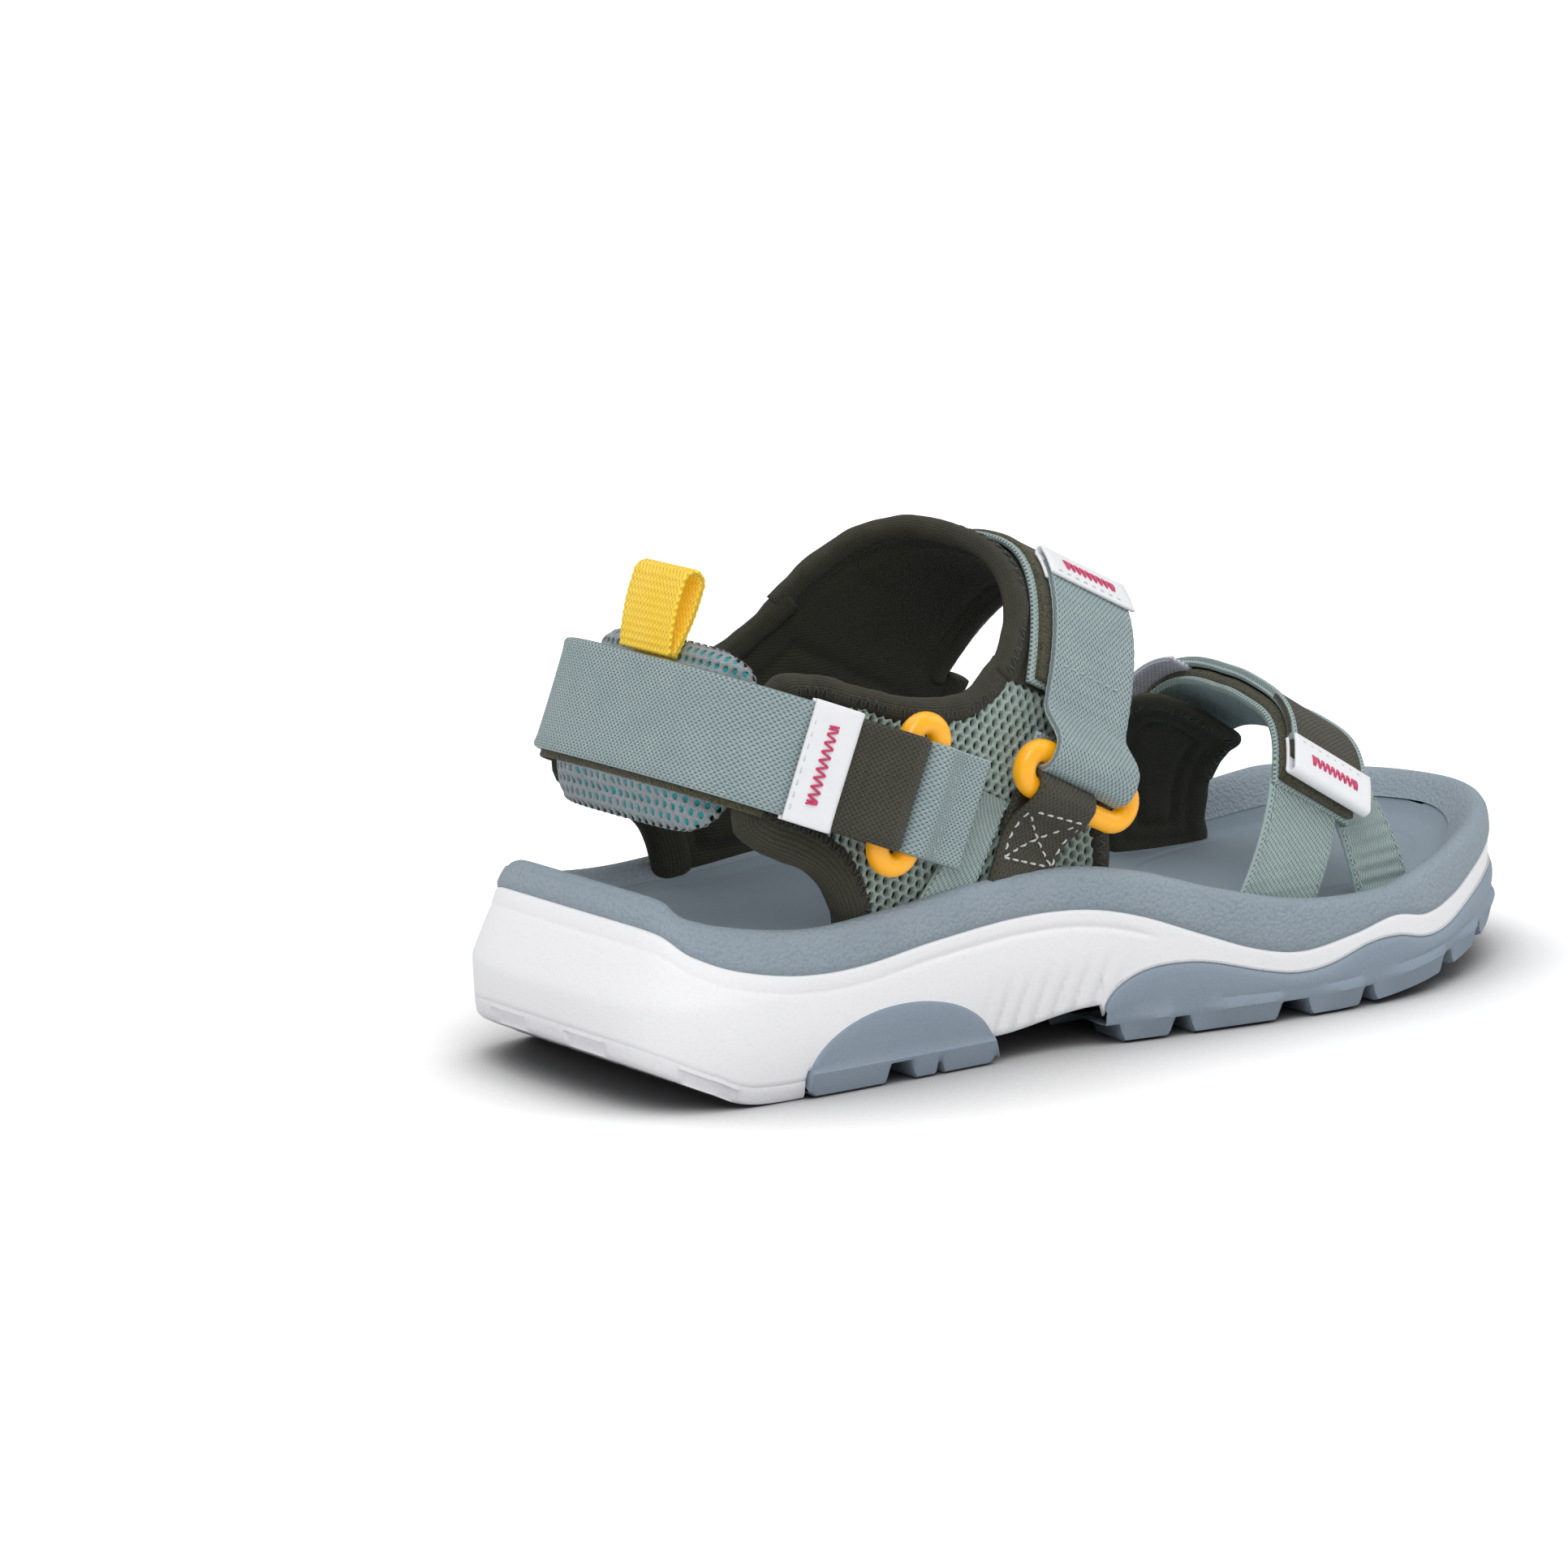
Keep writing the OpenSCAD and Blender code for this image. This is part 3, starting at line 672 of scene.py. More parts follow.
def plate(x0, x1, d, height, across, step):
    """Grid across the sole between x0 and x1, kept d inside the outline."""
    n = int((x1 - x0) / step)
    k = (1 - np.cos(np.linspace(0, math.pi, n))) / 2
    x = (x0 + (x1 - x0) * (0.5 * k + 0.5 * np.linspace(0, 1, n)))[:, None]
    t = np.linspace(0, 1, across)[None, :]
    lo, hi = edge_at(x, -1, d), edge_at(x, 1, d)
    y = lo + (hi - lo) * t
    x = x + 0 * y
    return np.stack([x, y, height(x, y)], -1)


def rim_piece():
    x, y = OUTLINE.T
    low, top = border(x), rim_high(x, y)
    tall = top - low
    rows = [(1.2, low - 0.6), (0.5, low + 0.1), (0.1, low + 0.5), (-0.25, low + 1.3)]
    for k in (0.25, 0.4, 0.55, 0.68, 0.8):
        rows.append((-0.35 + 1.5 * k ** 3, low + tall * k))
    for a in (20, 45, 65, 80, 90):
        turn = math.radians(a)
        rows.append((LIP_IN - 2.35 * math.cos(turn), top - 1.9 * (1 - math.sin(turn))))
    for d in np.arange(LIP_IN + 0.7, CUP_IN - 3.5, 0.8):
        rows.append((d, cup_height(x, y, d)))
    shape = Shape()
    shape.grid(wall(rows), wrap_cols=True)
    make("rim_cup", shape, RIM, ["rim"])


TOE_OVAL = (228.0, 3.0, 39.0, 30.0)


def footbed_height(x, y):
    flat = np.stack([x.ravel(), y.ravel()], 1)
    d = distance(OUTLINE[::3], flat).reshape(x.shape)
    z = cup_height(x, y, d)
    for _ in range(3):
        z = cup_height(x, y, d - lean(x, z))
    z = z - 0.04 - 0.6 * (1 - smooth(CUP_IN - 5.5, CUP_IN - 4, d - lean(x, z)))
    cx, cy, rx, ry = TOE_OVAL
    ring = (np.hypot((x - cx) / rx, (y - cy) / ry) - 1) * (rx + ry) / 2
    z = z - 0.55 * np.exp(-(ring / 0.8) ** 2)
    seam = (x - 168) - 0.12 * y
    return z - 0.35 * np.exp(-(seam / 0.7) ** 2)


def footbed_piece():
    shape = Shape()
    back = CUP_IN - 4.5 + lean(0, rim_top(0)) / 2
    shape.grid(plate(back, SOLE_L - CUP_IN + 4.5, CUP_IN - 4.5, footbed_height, 110, 1.0))
    make("footbed_foam", shape, FOOTBED, ["footbed"])


def midsole_low(x):
    """Bottom of the white foam, above the tread and the outsole."""
    z = heel_bevel(x) + LUG_H
    z = np.where(x > 43, 6.5, z)
    z = np.where(x > ARCH_START, 6.5 + 3.5 * smooth(ARCH_START, ARCH_END, x), z)
    return np.where(x > ARCH_END, np.maximum(outsole_top(x) - 2, 5), z)


def arch_ribs(x, z):
    """Scalloped ribs on the white wall at the arch."""
    wave = np.abs(np.sin(math.pi * (x - 0.35 * (z - 8)) / 5.6))
    window = smooth(94, 101, x) * (1 - smooth(133, 141, x))
    return 1.0 * (1 - wave) ** 1.5 * window * (1 - smooth(12, 22, z - 0.1 * (x - 100)))


def midsole_piece():
    x = OUTLINE[:, 0]
    low, top = midsole_low(x), border(x)
    rows = [(6, top - 0.3), (1.5, top - 0.05), (0.5, top - 0.02), (0.12, top - 0.3)]
    groove = (1 - smooth(140, 150, x)) * (0.22 + 0.28 * smooth(60, 90, x))
    for down, share in ((0.9, 0), (2.2, 0), (3.3, 0), (3.8, 0.6), (4.2, 1), (4.6, 0.6), (5.1, 0)):
        z = np.maximum(top - down, low + 0.2)
        rows.append((share * groove + arch_ribs(x, z), z))
    for k in np.linspace(0.05, 1, 16):
        z = np.maximum(top - 5.1, low + 0.2) * (1 - k) + low * k
        belly = -0.5 * np.sin(math.pi * np.clip(k, 0, 1)) * (1 - smooth(120, 150, x))
        rows.append((belly + arch_ribs(x, z), z))
    rows.append((1.0, low - 0.5))
    shape = Shape()
    shape.grid(wall(rows), wrap_cols=True)
    shape.grid(plate(1, SOLE_L - 1, 1.0, lambda x, y: midsole_low(x) - 0.5, 30, 2.0))
    make("midsole_foam", shape, WHITE, ["midsole"])


def heel_tread_piece():
    keep = np.flatnonzero(OUTLINE[:, 0] < 42.6)
    keep = np.concatenate([keep[keep > len(OUTLINE) // 2], keep[keep <= len(OUTLINE) // 2]])
    x = OUTLINE[keep, 0]
    low = heel_bevel(x)
    y = np.abs(OUTLINE[keep, 1])
    notch = smooth(10, 11, x) * (1 - smooth(22, 25, x))
    notch = notch + (x < 5) * smooth(8, 9, y) * (1 - smooth(21, 24, y))
    rows = [(0.6, low + LUG_H + 0.3), (0.05, low + LUG_H), (0, low + 3.4),
            (0.2 + 1.3 * notch, low + 2.8), (0.4 + 1.3 * notch, low + 1.2), (0.9 + 1.2 * notch, low + 0.3)]
    rows += [(d, heel_bevel(x + d * INWARD[keep, 0])) for d in (2.0, 3.4)]

    def bottom(x, y):
        """Tread face with grooves along the sole and one across it."""
        beside = np.minimum(y % 22, 22 - y % 22)
        cut = np.exp(-(beside / 1.6) ** 4) + np.exp(-((x - 25.5) / 1.6) ** 4)
        return heel_bevel(x) + 2.2 * np.clip(cut, 0, 1)

    shape = Shape()
    shape.grid(wall(rows, keep))
    shape.grid(plate(3, 42.6, 3.0, bottom, 100, 0.6))
    make("heel_tread_rubber", shape, TREAD, ["heel_tread"], sharp=40)


POD_MID, POD_HALF, POD_H = 71.5, 28.5, 19


def pod_low(x):
    """Bottom of the heel pod: two rows of lugs with a gap between them."""
    ends = smooth(POD_MID - POD_HALF, POD_MID - POD_HALF + 2.5, x)
    ends = ends * (1 - smooth(POD_MID + POD_HALF - 2.5, POD_MID + POD_HALF, x))
    gap = smooth(65.5, 68, x) * (1 - smooth(73, 75.5, x))
    gap = gap + smooth(81, 81.8, x) * (1 - smooth(83, 83.8, x)) * 0.6
    return np.clip(LUG_H * gap + 1.5 * (1 - ends), 0, LUG_H)


def heel_pod_piece():
    shape = Shape()
    k = np.linspace(-1, 1, 150)
    x = POD_MID + POD_HALF * np.sin(k * math.pi / 2) * 0.998
    top = POD_H * np.maximum(1 - ((x - POD_MID) / POD_HALF) ** 2, 0) ** 0.4
    low = np.minimum(pod_low(x), top)
    mid = np.minimum(6.4, top)
    for side in (-1, 1):
        edge = edge_at(x, side)
        rows = []
        for d, z in ((1.5, top + 0.5), (0.2, top + 0.1), (-0.5, top - 0.35), (-0.9, top - 1.1),
                     (-0.95, mid + (top - mid) * 0.6), (-1.0, mid + (top - mid) * 0.2), (-1.1, mid),
                     (-1.6, mid - 0.6), (-1.5, mid - 1.3), (-0.6, np.minimum(low + 0.4, mid - 1.5)),
                     (0.0, low), (16, low), (17.5, np.maximum(low, LUG_H))):
            rows.append(np.column_stack([x, edge - side * d, np.maximum(np.broadcast_to(z, len(x)), low)]))
        shape.grid(np.array(rows))
    t = np.linspace(-26, 26, 90)
    xx, yy = np.meshgrid(x, t, indexing="ij")
    island = smooth(3.5, 4.3, np.abs(yy)) * (1 - smooth(17, 17.8, np.abs(yy)))
    zz = np.maximum(pod_low(xx), LUG_H * (1 - island))
    shape.grid(np.stack([xx, yy, zz], -1))
    make("heel_pod_rubber", shape, RUBBER, ["heel_pod"], sharp=38)


EDGE_LUGS = ((5, 18.5), (25, 50), (60, 76), (81, 107), (113, 127), (133, 149))


def outsole_piece():
    """Wavy wrap, edge lugs and centre lugs of the forefoot outsole."""
    keep = np.flatnonzero(OUTLINE[:, 0] > ARCH_END + 0.2)
    x = OUTLINE[keep, 0]
    run = lengths(OUTLINE[keep])
    total = run[-1]
    block = np.zeros(len(run))
    facet = np.zeros(len(run))
    lugs = list(EDGE_LUGS) + [(total - b, total - a) for a, b in EDGE_LUGS]
    toe_from, toe_to = EDGE_LUGS[-1][1] + 5, total - EDGE_LUGS[-1][1] - 5
    count = int((toe_to - toe_from) / 19)
    pitch = (toe_to - toe_from) / count
    lugs += [(toe_from + k * pitch + 2, toe_from + (k + 1) * pitch - 3) for k in range(count)]
    for a, b in lugs:
        block = np.maximum(block, smooth(a - 1.3, a + 0.6, run) * (1 - smooth(b - 1.2, b + 2.2, run)))
        facet = np.maximum(facet, smooth(a, a + 9, run) * (1 - smooth(b - 1, b + 2, run)))
    floor = lift(x) + LUG_H
    low = floor - LUG_H * block
    top = np.maximum(outsole_top(x), floor + 1.2)
    ledge = np.minimum(floor + 2.6, top - 0.8)
    rows = [(1.5, top + 0.5), (0.2, top + 0.1), (-0.5, top - 0.3), (-0.95, top - 0.9)]
    for k in (0.15, 0.4, 0.65, 0.9):
        rows.append((-1.0 - 0.35 * math.sin(math.pi * k), top - 0.9 + (ledge - top + 0.9) * k))
    rows += [(-1.1 - 0.9 * facet, ledge - 0.5), (-1.1 - 1.1 * facet, floor + 0.9),
             (-0.9 - 0.9 * facet, floor + 0.2), (-0.4 - 0.5 * block, low + 0.5), (0.4, low),
             (13, low), (14.5, floor), (24, floor)]
    shape = Shape()
    shape.grid(wall(rows, keep))
    shape.grid(plate(ARCH_END + 0.5, SOLE_L - 16, 15, lambda x, y: lift(x) + LUG_H, 20, 3))
    for row, cx in enumerate(np.arange(143, 268, 19.5)):
        reach = min(-edge_at(cx, -1), edge_at(cx, 1)) - 19
        for y in (-0.62 * reach, 0.0, 0.62 * reach):
            tread_block(shape, cx + (4 if y == 0 else 0), y, 11.5, reach * 0.46, 3.5)
    make("forefoot_outsole_rubber", shape, RUBBER,
         ["forefoot_outsole"], sharp=38)


def tread_block(shape, cx, cy, length, width, sweep):
    """Chevron block under the forefoot."""
    half = width / 2
    plan = np.array([(-length / 2 - sweep, -half), (-length / 2, 0), (-length / 2 - sweep, half),
                     (length / 2 - sweep, half), (length / 2, 0), (length / 2 - sweep, -half)])
    rings = []
    for grow, z in ((1.08, LUG_H + 0.4), (1.04, 2.5), (1.0, 0.5), (0.93, 0.0)):
        p = plan * grow + (cx, cy)
        rings.append(np.column_stack([p, lift(p[:, 0]) + z]))
    rings = np.array(rings)
    shape.grid(rings, wrap_cols=True)
    shape.add(rings[-1], [(0, 1, 4, 5), (1, 2, 3, 4)])


def edge_line_piece():
    """Thin silvery line above the outsole's wavy edge."""
    keep = np.flatnonzero(OUTLINE[:, 0] > ARCH_END + 0.4)
    top = np.maximum(outsole_top(OUTLINE[keep, 0]), lift(OUTLINE[keep, 0]) + LUG_H + 1.2)
    rows = [(0.6, top), (-0.35, top + 0.05), (-0.5, top + 0.3), (-0.3, top + 0.6), (0.5, top + 0.65)]
    shape = Shape()
    shape.grid(wall(rows, keep))
    make("outsole_edge_line", shape, SILVER)


rim_piece()
footbed_piece()
midsole_piece()
heel_tread_piece()
heel_pod_piece()
outsole_piece()
edge_line_piece()


# --- Webbing, threads and sheets --------------------------------------------------
def rounded_section(w, t, cuts):
    """Closed flat-oval section: points (across, through), top first."""
    r = t / 2
    top = [(a, r) for a in np.linspace(-w / 2 + r, w / 2 - r, cuts)]
    right = [(w / 2 - r + r * math.sin(a), r * math.cos(a)) for a in np.radians([45, 90, 135])]
    low = [(a, -r) for a in np.linspace(w / 2 - r, -w / 2 + r, max(4, cuts // 2))]
    left = [(-w / 2 + r - r * math.sin(a), -r * math.cos(a)) for a in np.radians([45, 90, 135])]
    return np.array(top + right + low + left)


def strap_frame(path, across):
    """Tangent, across and outward directions along a path."""
    t = unit(np.gradient(path, axis=0))
    a = np.broadcast_to(across, path.shape)
    a = unit(a - t * np.sum(a * t, axis=1, keepdims=True))
    return t, a, np.cross(t, a)


def band(path, across, width, thick, rib=0.09, rib_pitch=3.2, step=0.8, flip=False, cuts=22,
         uneven=0.22, shape=None, seed=0.0, slant=0.0):
    """Flat strap along a path, with soft cross ribs and thick selvedges. With a slant its
    start is cut at an angle."""
    path = even(np.asarray(path, float), step)
    t, a, n = strap_frame(path, across)
    if flip:
        n = -n
    run = lengths(path)
    wide = np.interp(run / run[-1], np.linspace(0, 1, len(np.atleast_1d(width))), np.atleast_1d(width))
    rings, uvs = [], []
    for k in range(len(path)):
        sec = rounded_section(wide[k], thick, cuts)
        half = wide[k] / 2
        selvedge = np.exp(-((np.abs(sec[:, 0]) - half + 0.9) / 0.7) ** 2)
        height = sec[:, 1] * (1 + 0.22 * selvedge)
        height = height + np.sign(sec[:, 1]) * rib * np.sin(2 * math.pi * run[k] / rib_pitch) * (1 - selvedge)
        skew = slant * sec[:, :1] * max(0.0, 1 - run[k] / 14)
        ring = path[k] + sec[:, :1] * a[k] + height[:, None] * n[k] + skew * t[k]
        rings.append(ring)
        uvs.append(np.column_stack([np.full(len(sec), run[k]), sec[:, 0] + 3.0 * (sec[:, 1] < 0)]))
    rings = np.array(rings)
    rings = rings + n[:, None, :] * wobble(rings, 11.0, uneven, seed)[..., None]
    rings = rings + a[:, None, :] * wobble(rings, 16.0, uneven, seed + 3)[..., None]
    shape = shape or Shape()
    shape.grid(rings, np.array(uvs), wrap_cols=True, cap_rows=True)
    return shape


def threads(ends, radius=0.28, rise=0.22, sink=0.35):
    """Stitches: each is (start, end, outward direction)."""
    shape = Shape()
    k = np.linspace(0, 1, 7)
    hump = np.sin(math.pi * k) ** 0.6
    angles = np.radians(np.arange(0, 360, 60))
    for a, b, n in ends:
        a, b, n = (np.asarray(v, float) for v in (a, b, n))
        along = unit(b - a)
        side = unit(np.cross(along, n))
        mid = a + (b - a) * k[:, None] + n * (-sink + (sink + rise) * hump)[:, None]
        slim = radius * (0.55 + 0.45 * hump)[:, None, None]
        ring = np.cos(angles)[None, :, None] * side + np.sin(angles)[None, :, None] * n
        pts = mid[:, None, :] + slim * ring
        length = np.linalg.norm(b - a)
        uv = np.stack(np.meshgrid(k * length, angles * radius, indexing="ij"), -1)
        shape.grid(pts, uv, wrap_cols=True, cap_rows=True)
    return shape


def zigzag(place, out, length, pitch, reach):
    """Ends of a zigzag; place(t, a) is t along and a across."""
    ends, side = [], 1
    for t in np.arange(0, length - pitch / 2 + 1e-6, pitch / 2):
        ends.append((place(t, side * reach), place(t + pitch / 2, -side * reach), out))
        side = -side
    return ends


def patch(outline, place, low, high, edge, step):
    """Pillow over a 2-D outline. place(pts, o) maps to 3-D; low and high are offsets.
    The faces curve together over the last edge mm."""
    rings = [even(inset(outline, d), step * 0.8, True) for d in (0.0, edge * 0.12, edge * 0.4, edge * 0.8)]
    lo, hi = outline.min(0), outline.max(0)
    xs, ys = np.arange(lo[0], hi[0], step), np.arange(lo[1], hi[1], step)
    grid = np.array([(x + (j % 2) * step / 2, y) for j, y in enumerate(ys) for x in xs])
    grid = grid[inside(outline, grid)]
    grid = grid[distance(outline, grid) > edge * 0.8 + step * 0.5]
    base = rings[0]
    extra = [r[inside(outline, r)] for r in rings[1:]]
    pts = np.concatenate([base] + extra + [grid])
    loop = [(k, (k + 1) % len(base)) for k in range(len(base))]
    verts, _, tris, *_ = geometry.delaunay_2d_cdt([Vector(p) for p in pts], loop, [], 1, 1e-6)
    flat = np.array([tuple(v) for v in verts])
    d = np.clip(distance(base, flat) / edge, 0, 1)
    swell = np.sqrt(np.clip(1 - (1 - d) ** 2, 0, 1))
    low = low(flat) if callable(low) else low
    high = high(flat) if callable(high) else high
    mid = (low + high) / 2
    top = mid + (high - mid) * swell
    bottom = mid + (low - mid) * swell
    shape = Shape()
    shape.add(place(flat, top), tris, flat)
    shape.add(place(flat, bottom), [f[::-1] for f in tris], flat)
    return shape


def lattice(keep, place, pitch, hole, depth, tall, seed):
    """Perforated fabric: hexagonal cells, each with a rounded hole. keep(pts) says which cell
    centres are used; place(pts, drop) maps to 3-D, drop mm below the surface."""
    random, jitter = np.random.default_rng(seed), 0.07
    (x0, y0), (x1, y1) = keep.span
    rise = pitch * math.sqrt(3) / 2
    cells = np.array([(x, y0 + j * rise) for j in range(int((y1 - y0) / rise) + 1)
                      for x in np.arange(x0 + (j % 2) * pitch / 2, x1, pitch)])
    cells = cells[keep(cells)]
    turn = np.radians(np.arange(0, 360, 30))
    reach = np.where(np.arange(12) % 2 == 1, pitch / math.sqrt(3), pitch / 2)
    outer = np.stack([np.cos(turn), np.sin(turn)], 1) * reach[:, None]
    index, points, drops, faces = {}, [], [], []
    for c in cells:
        shift = random.uniform(-jitter, jitter, 2)
        grow = 1 + random.uniform(-0.06, 0.06)
        ids = []
        for p in outer + c:
            key = (round(p[0] * 50), round(p[1] * 50))
            if key not in index:
                index[key] = len(points)
                points.append(p)
                drops.append(0.0)
            ids.append(index[key])
        ring = np.stack([np.cos(turn), np.sin(turn) * tall], 1) * hole * grow
        last = ids
        for share, drop in ((1.28, 0.05), (1.03, 0.35 * depth), (1.0, depth)):
            start = len(points)
            points.extend(ring * share + c + shift)
            drops.extend([drop] * 12)
            now = list(range(start, start + 12))
            faces.extend([(last[k], last[(k + 1) % 12], now[(k + 1) % 12], now[k]) for k in range(12)])
            last = now
    points = np.array(points)
    shape = Shape()
    shape.add(place(points, np.array(drops)), faces, points)
    return shape


# --- Quarters --------------------------------------------------------------------
LATERAL_EDGE = catmull([(62, 20), (56, 41), (50.5, 49.5), (43, 54.5), (33, 59), (27.5, 64.5),
                        (28.5, 76), (34, 91), (41, 98), (52, 97.5), (65, 93.5), (78, 89.5), (90, 87.5),
                        (100, 88), (110, 94), (119, 104), (128, 116),
                        (146, 112), (150, 96), (150, 80), (142, 56), (130, 20)], 1.0, True)
MEDIAL_EDGE = catmull([(64, 20), (58.5, 40), (54, 50), (45, 55.5), (35, 60), (29.5, 65.5), (30.5, 76),
                       (36, 87.5), (45, 92.5), (60, 89),
                       (73, 90.5), (85, 98), (95, 108), (103, 118), (120, 124), (146, 112),
                       (151, 94), (149, 76), (140, 54), (128, 20)], 1.0, True)
BIND_W = 6.4
QUARTER_T = 3.4
ROOT_Z = 33.2
SEAM_W = ANKLE.base(np.array(float(SEAM_U)))[1]


def quarter_pieces(side, edge):
    """Mesh, lining, rolled binding and binding stitches of one quarter."""
    name = "medial" if side else "lateral"
    flip = FLIP if side else np.ones(3)
    core = inset(edge, -BIND_W + 1.5)

    def surface(xz, o):
        s, u = ANKLE.side_place(xz)
        return ANKLE.at(s, u, o) * flip

    def trim(line):
        """Cuts an outline at the seam and at the root."""
        w = line[:, 0] * ANKLE.sin + line[:, 1] * ANKLE.cos
        over = np.maximum(w - SEAM_W - 1.5, 0)
        line = line - np.stack([over * ANKLE.sin, over * ANKLE.cos], 1)
        line[:, 1] = np.maximum(line[:, 1], ROOT_Z)
        return line

    lining_edge = even(np.concatenate([trim(core), trim(core)[:1]]), 1.5, True)

    def inner_face(pts):
        d = distance(lining_edge, pts)
        return 0.2 + 0.9 * np.exp(-((d - 8.5) / 0.9) ** 2) - 0.5 * smooth(9.5, 12, d)

    shape = patch(lining_edge, surface, inner_face, 1.7, 1.0, 1.4)
    make(name + "_quarter_lining", shape, PADDED)

    s_ref, l_ref = ANKLE.side_place(lining_edge)
    l_edge = ANKLE.l_of_u(l_ref)

    def keep(pts):
        u = ANKLE.u_of_l(pts[:, 1])
        return inside(lining_edge, ANKLE.side_view(pts[:, 0], u))

    keep.span = ((s_ref.min() - 2, l_edge.min() - 2), (s_ref.max() + 2, l_edge.max() + 2))

    def place(pts, drop):
        u = ANKLE.u_of_l(pts[:, 1])
        flat = ANKLE.at(pts[:, 0], u, 0)
        return ANKLE.at(pts[:, 0], u, QUARTER_T - drop + wobble(flat, 9.0, 0.25, side)) * flip

    shape = lattice(keep, place, 2.75, 0.82, 1.6, 1.2, 5 + side)
    make(name + "_quarter_mesh", shape, SAGE_MESH, [name + "_quarter"])

    broad = (1 - smooth(66, 76, edge[:, 0])) * (1 - smooth(66, 84, edge[:, 1]))
    wide = BIND_W + 4.8 * broad
    middle = inset(edge, -wide / 2)
    w = middle[:, 0] * ANKLE.sin + middle[:, 1] * ANKLE.cos
    shown = (middle[:, 1] > ROOT_Z) & (w < SEAM_W + 3)
    bind, stitches = Shape(), []
    for run in runs(shown):
        line = middle[run]
        if len(line) < 8:
            continue
        s, u = ANKLE.side_place(line)
        centre = ANKLE.at(s, u, QUARTER_T / 2)
        centre = even(centre, 0.8)
        normal = np.stack([np.interp(np.linspace(0, 1, len(centre)), np.linspace(0, 1, len(u)), col)
                           for col in ANKLE.out(u).T], 1)
        centre, normal = centre * flip, normal * flip
        width = np.interp(np.linspace(0, 1, len(centre)), np.linspace(0, 1, len(run)), wide[run])
        roll(bind, centre, normal, width, QUARTER_T + 1.7)
        stitches += roll_stitches(centre, normal, width, QUARTER_T + 1.7, -1 if side else 1)
    make(name + "_binding_roll", bind, KNIT, [name + "_binding"])
    make(name + "_binding_stitches", threads(stitches, 0.26, 0.3), DARK)


def runs(mask):
    """Index runs of a closed mask, joined across the start."""
    n = len(mask)
    starts = [k for k in range(n) if mask[k] and not mask[k - 1]]
    out = []
    for a in starts:
        b = a
        while mask[b % n] and b < a + n:
            b += 1
        out.append(np.arange(a, b) % n)
    return out


def roll(shape, centre, normal, wide, thick):
    """Rolled binding: a soft flattened tube."""
    t = unit(np.gradient(centre, axis=0))
    normal = unit(normal - t * np.sum(normal * t, axis=1, keepdims=True))
    side = np.cross(t, normal)
    a = np.linspace(0, 2 * math.pi, 24, endpoint=False)
    flat = squarish(np.cos(a), 0.85)[None, :] * np.reshape(wide, (-1, 1)) / 2
    tall = squarish(np.sin(a), 0.85)[None, :] * np.reshape(thick, (-1, 1)) / 2
    rings = centre[:, None, :] + flat[..., None] * side[:, None, :] + tall[..., None] * normal[:, None, :]
    out = unit(rings - centre[:, None, :])
    rings = rings + out * (wobble(rings, 3.6, 0.3) + wobble(rings, 1.6, 0.12, 2))[..., None]
    run = lengths(centre)
    around = a * (np.mean(wide) + np.mean(thick)) / 4
    uv = np.stack(np.meshgrid(run, around, indexing="ij"), -1)
    shape.grid(rings, uv, wrap_cols=True, cap_rows=True)


def roll_stitches(centre, normal, wide, thick, inner):
    """Dark zigzag threads over the inner half of a binding's outer face."""
    t = unit(np.gradient(centre, axis=0))
    side = np.cross(t, unit(normal - t * np.sum(normal * t, axis=1, keepdims=True)))
    run = lengths(centre)
    half = np.broadcast_to(np.asarray(wide, float) / 2, len(run))
    ends = []

    def at(d, back, high):
        k = np.array([np.interp(d, run, m) for m in centre.T])
        s = np.array([np.interp(d, run, m) for m in side.T])
        n = np.array([np.interp(d, run, m) for m in normal.T])
        return k + s * (np.interp(d, run, half) - back) * inner + n * high, n

    for d in np.arange(1, run[-1] - 3, 2.7):
        a, n = at(d, 0.5, thick * 0.34)
        b, _ = at(d + 1.2, 3.9, thick * 0.5)
        c, _ = at(d + 2.5, 0.6, thick * 0.36)
        ends += [(a, b, n), (b, c, n)]
    return ends


quarter_pieces(0, LATERAL_EDGE)
quarter_pieces(1, MEDIAL_EDGE)


# --- Instep band ---------------------------------------------------------------------
REAR = catmull([(-29.5, 57), (-25, 60.5), (-18, 61), (-4, 56), (13, 46), (29.5, 35)], 1.0)
FRONT = catmull([(-29.5, 95.5), (-24, 95), (0, 92), (24, 93), (29.5, 94)], 1.0)
BAND_T = 4.5


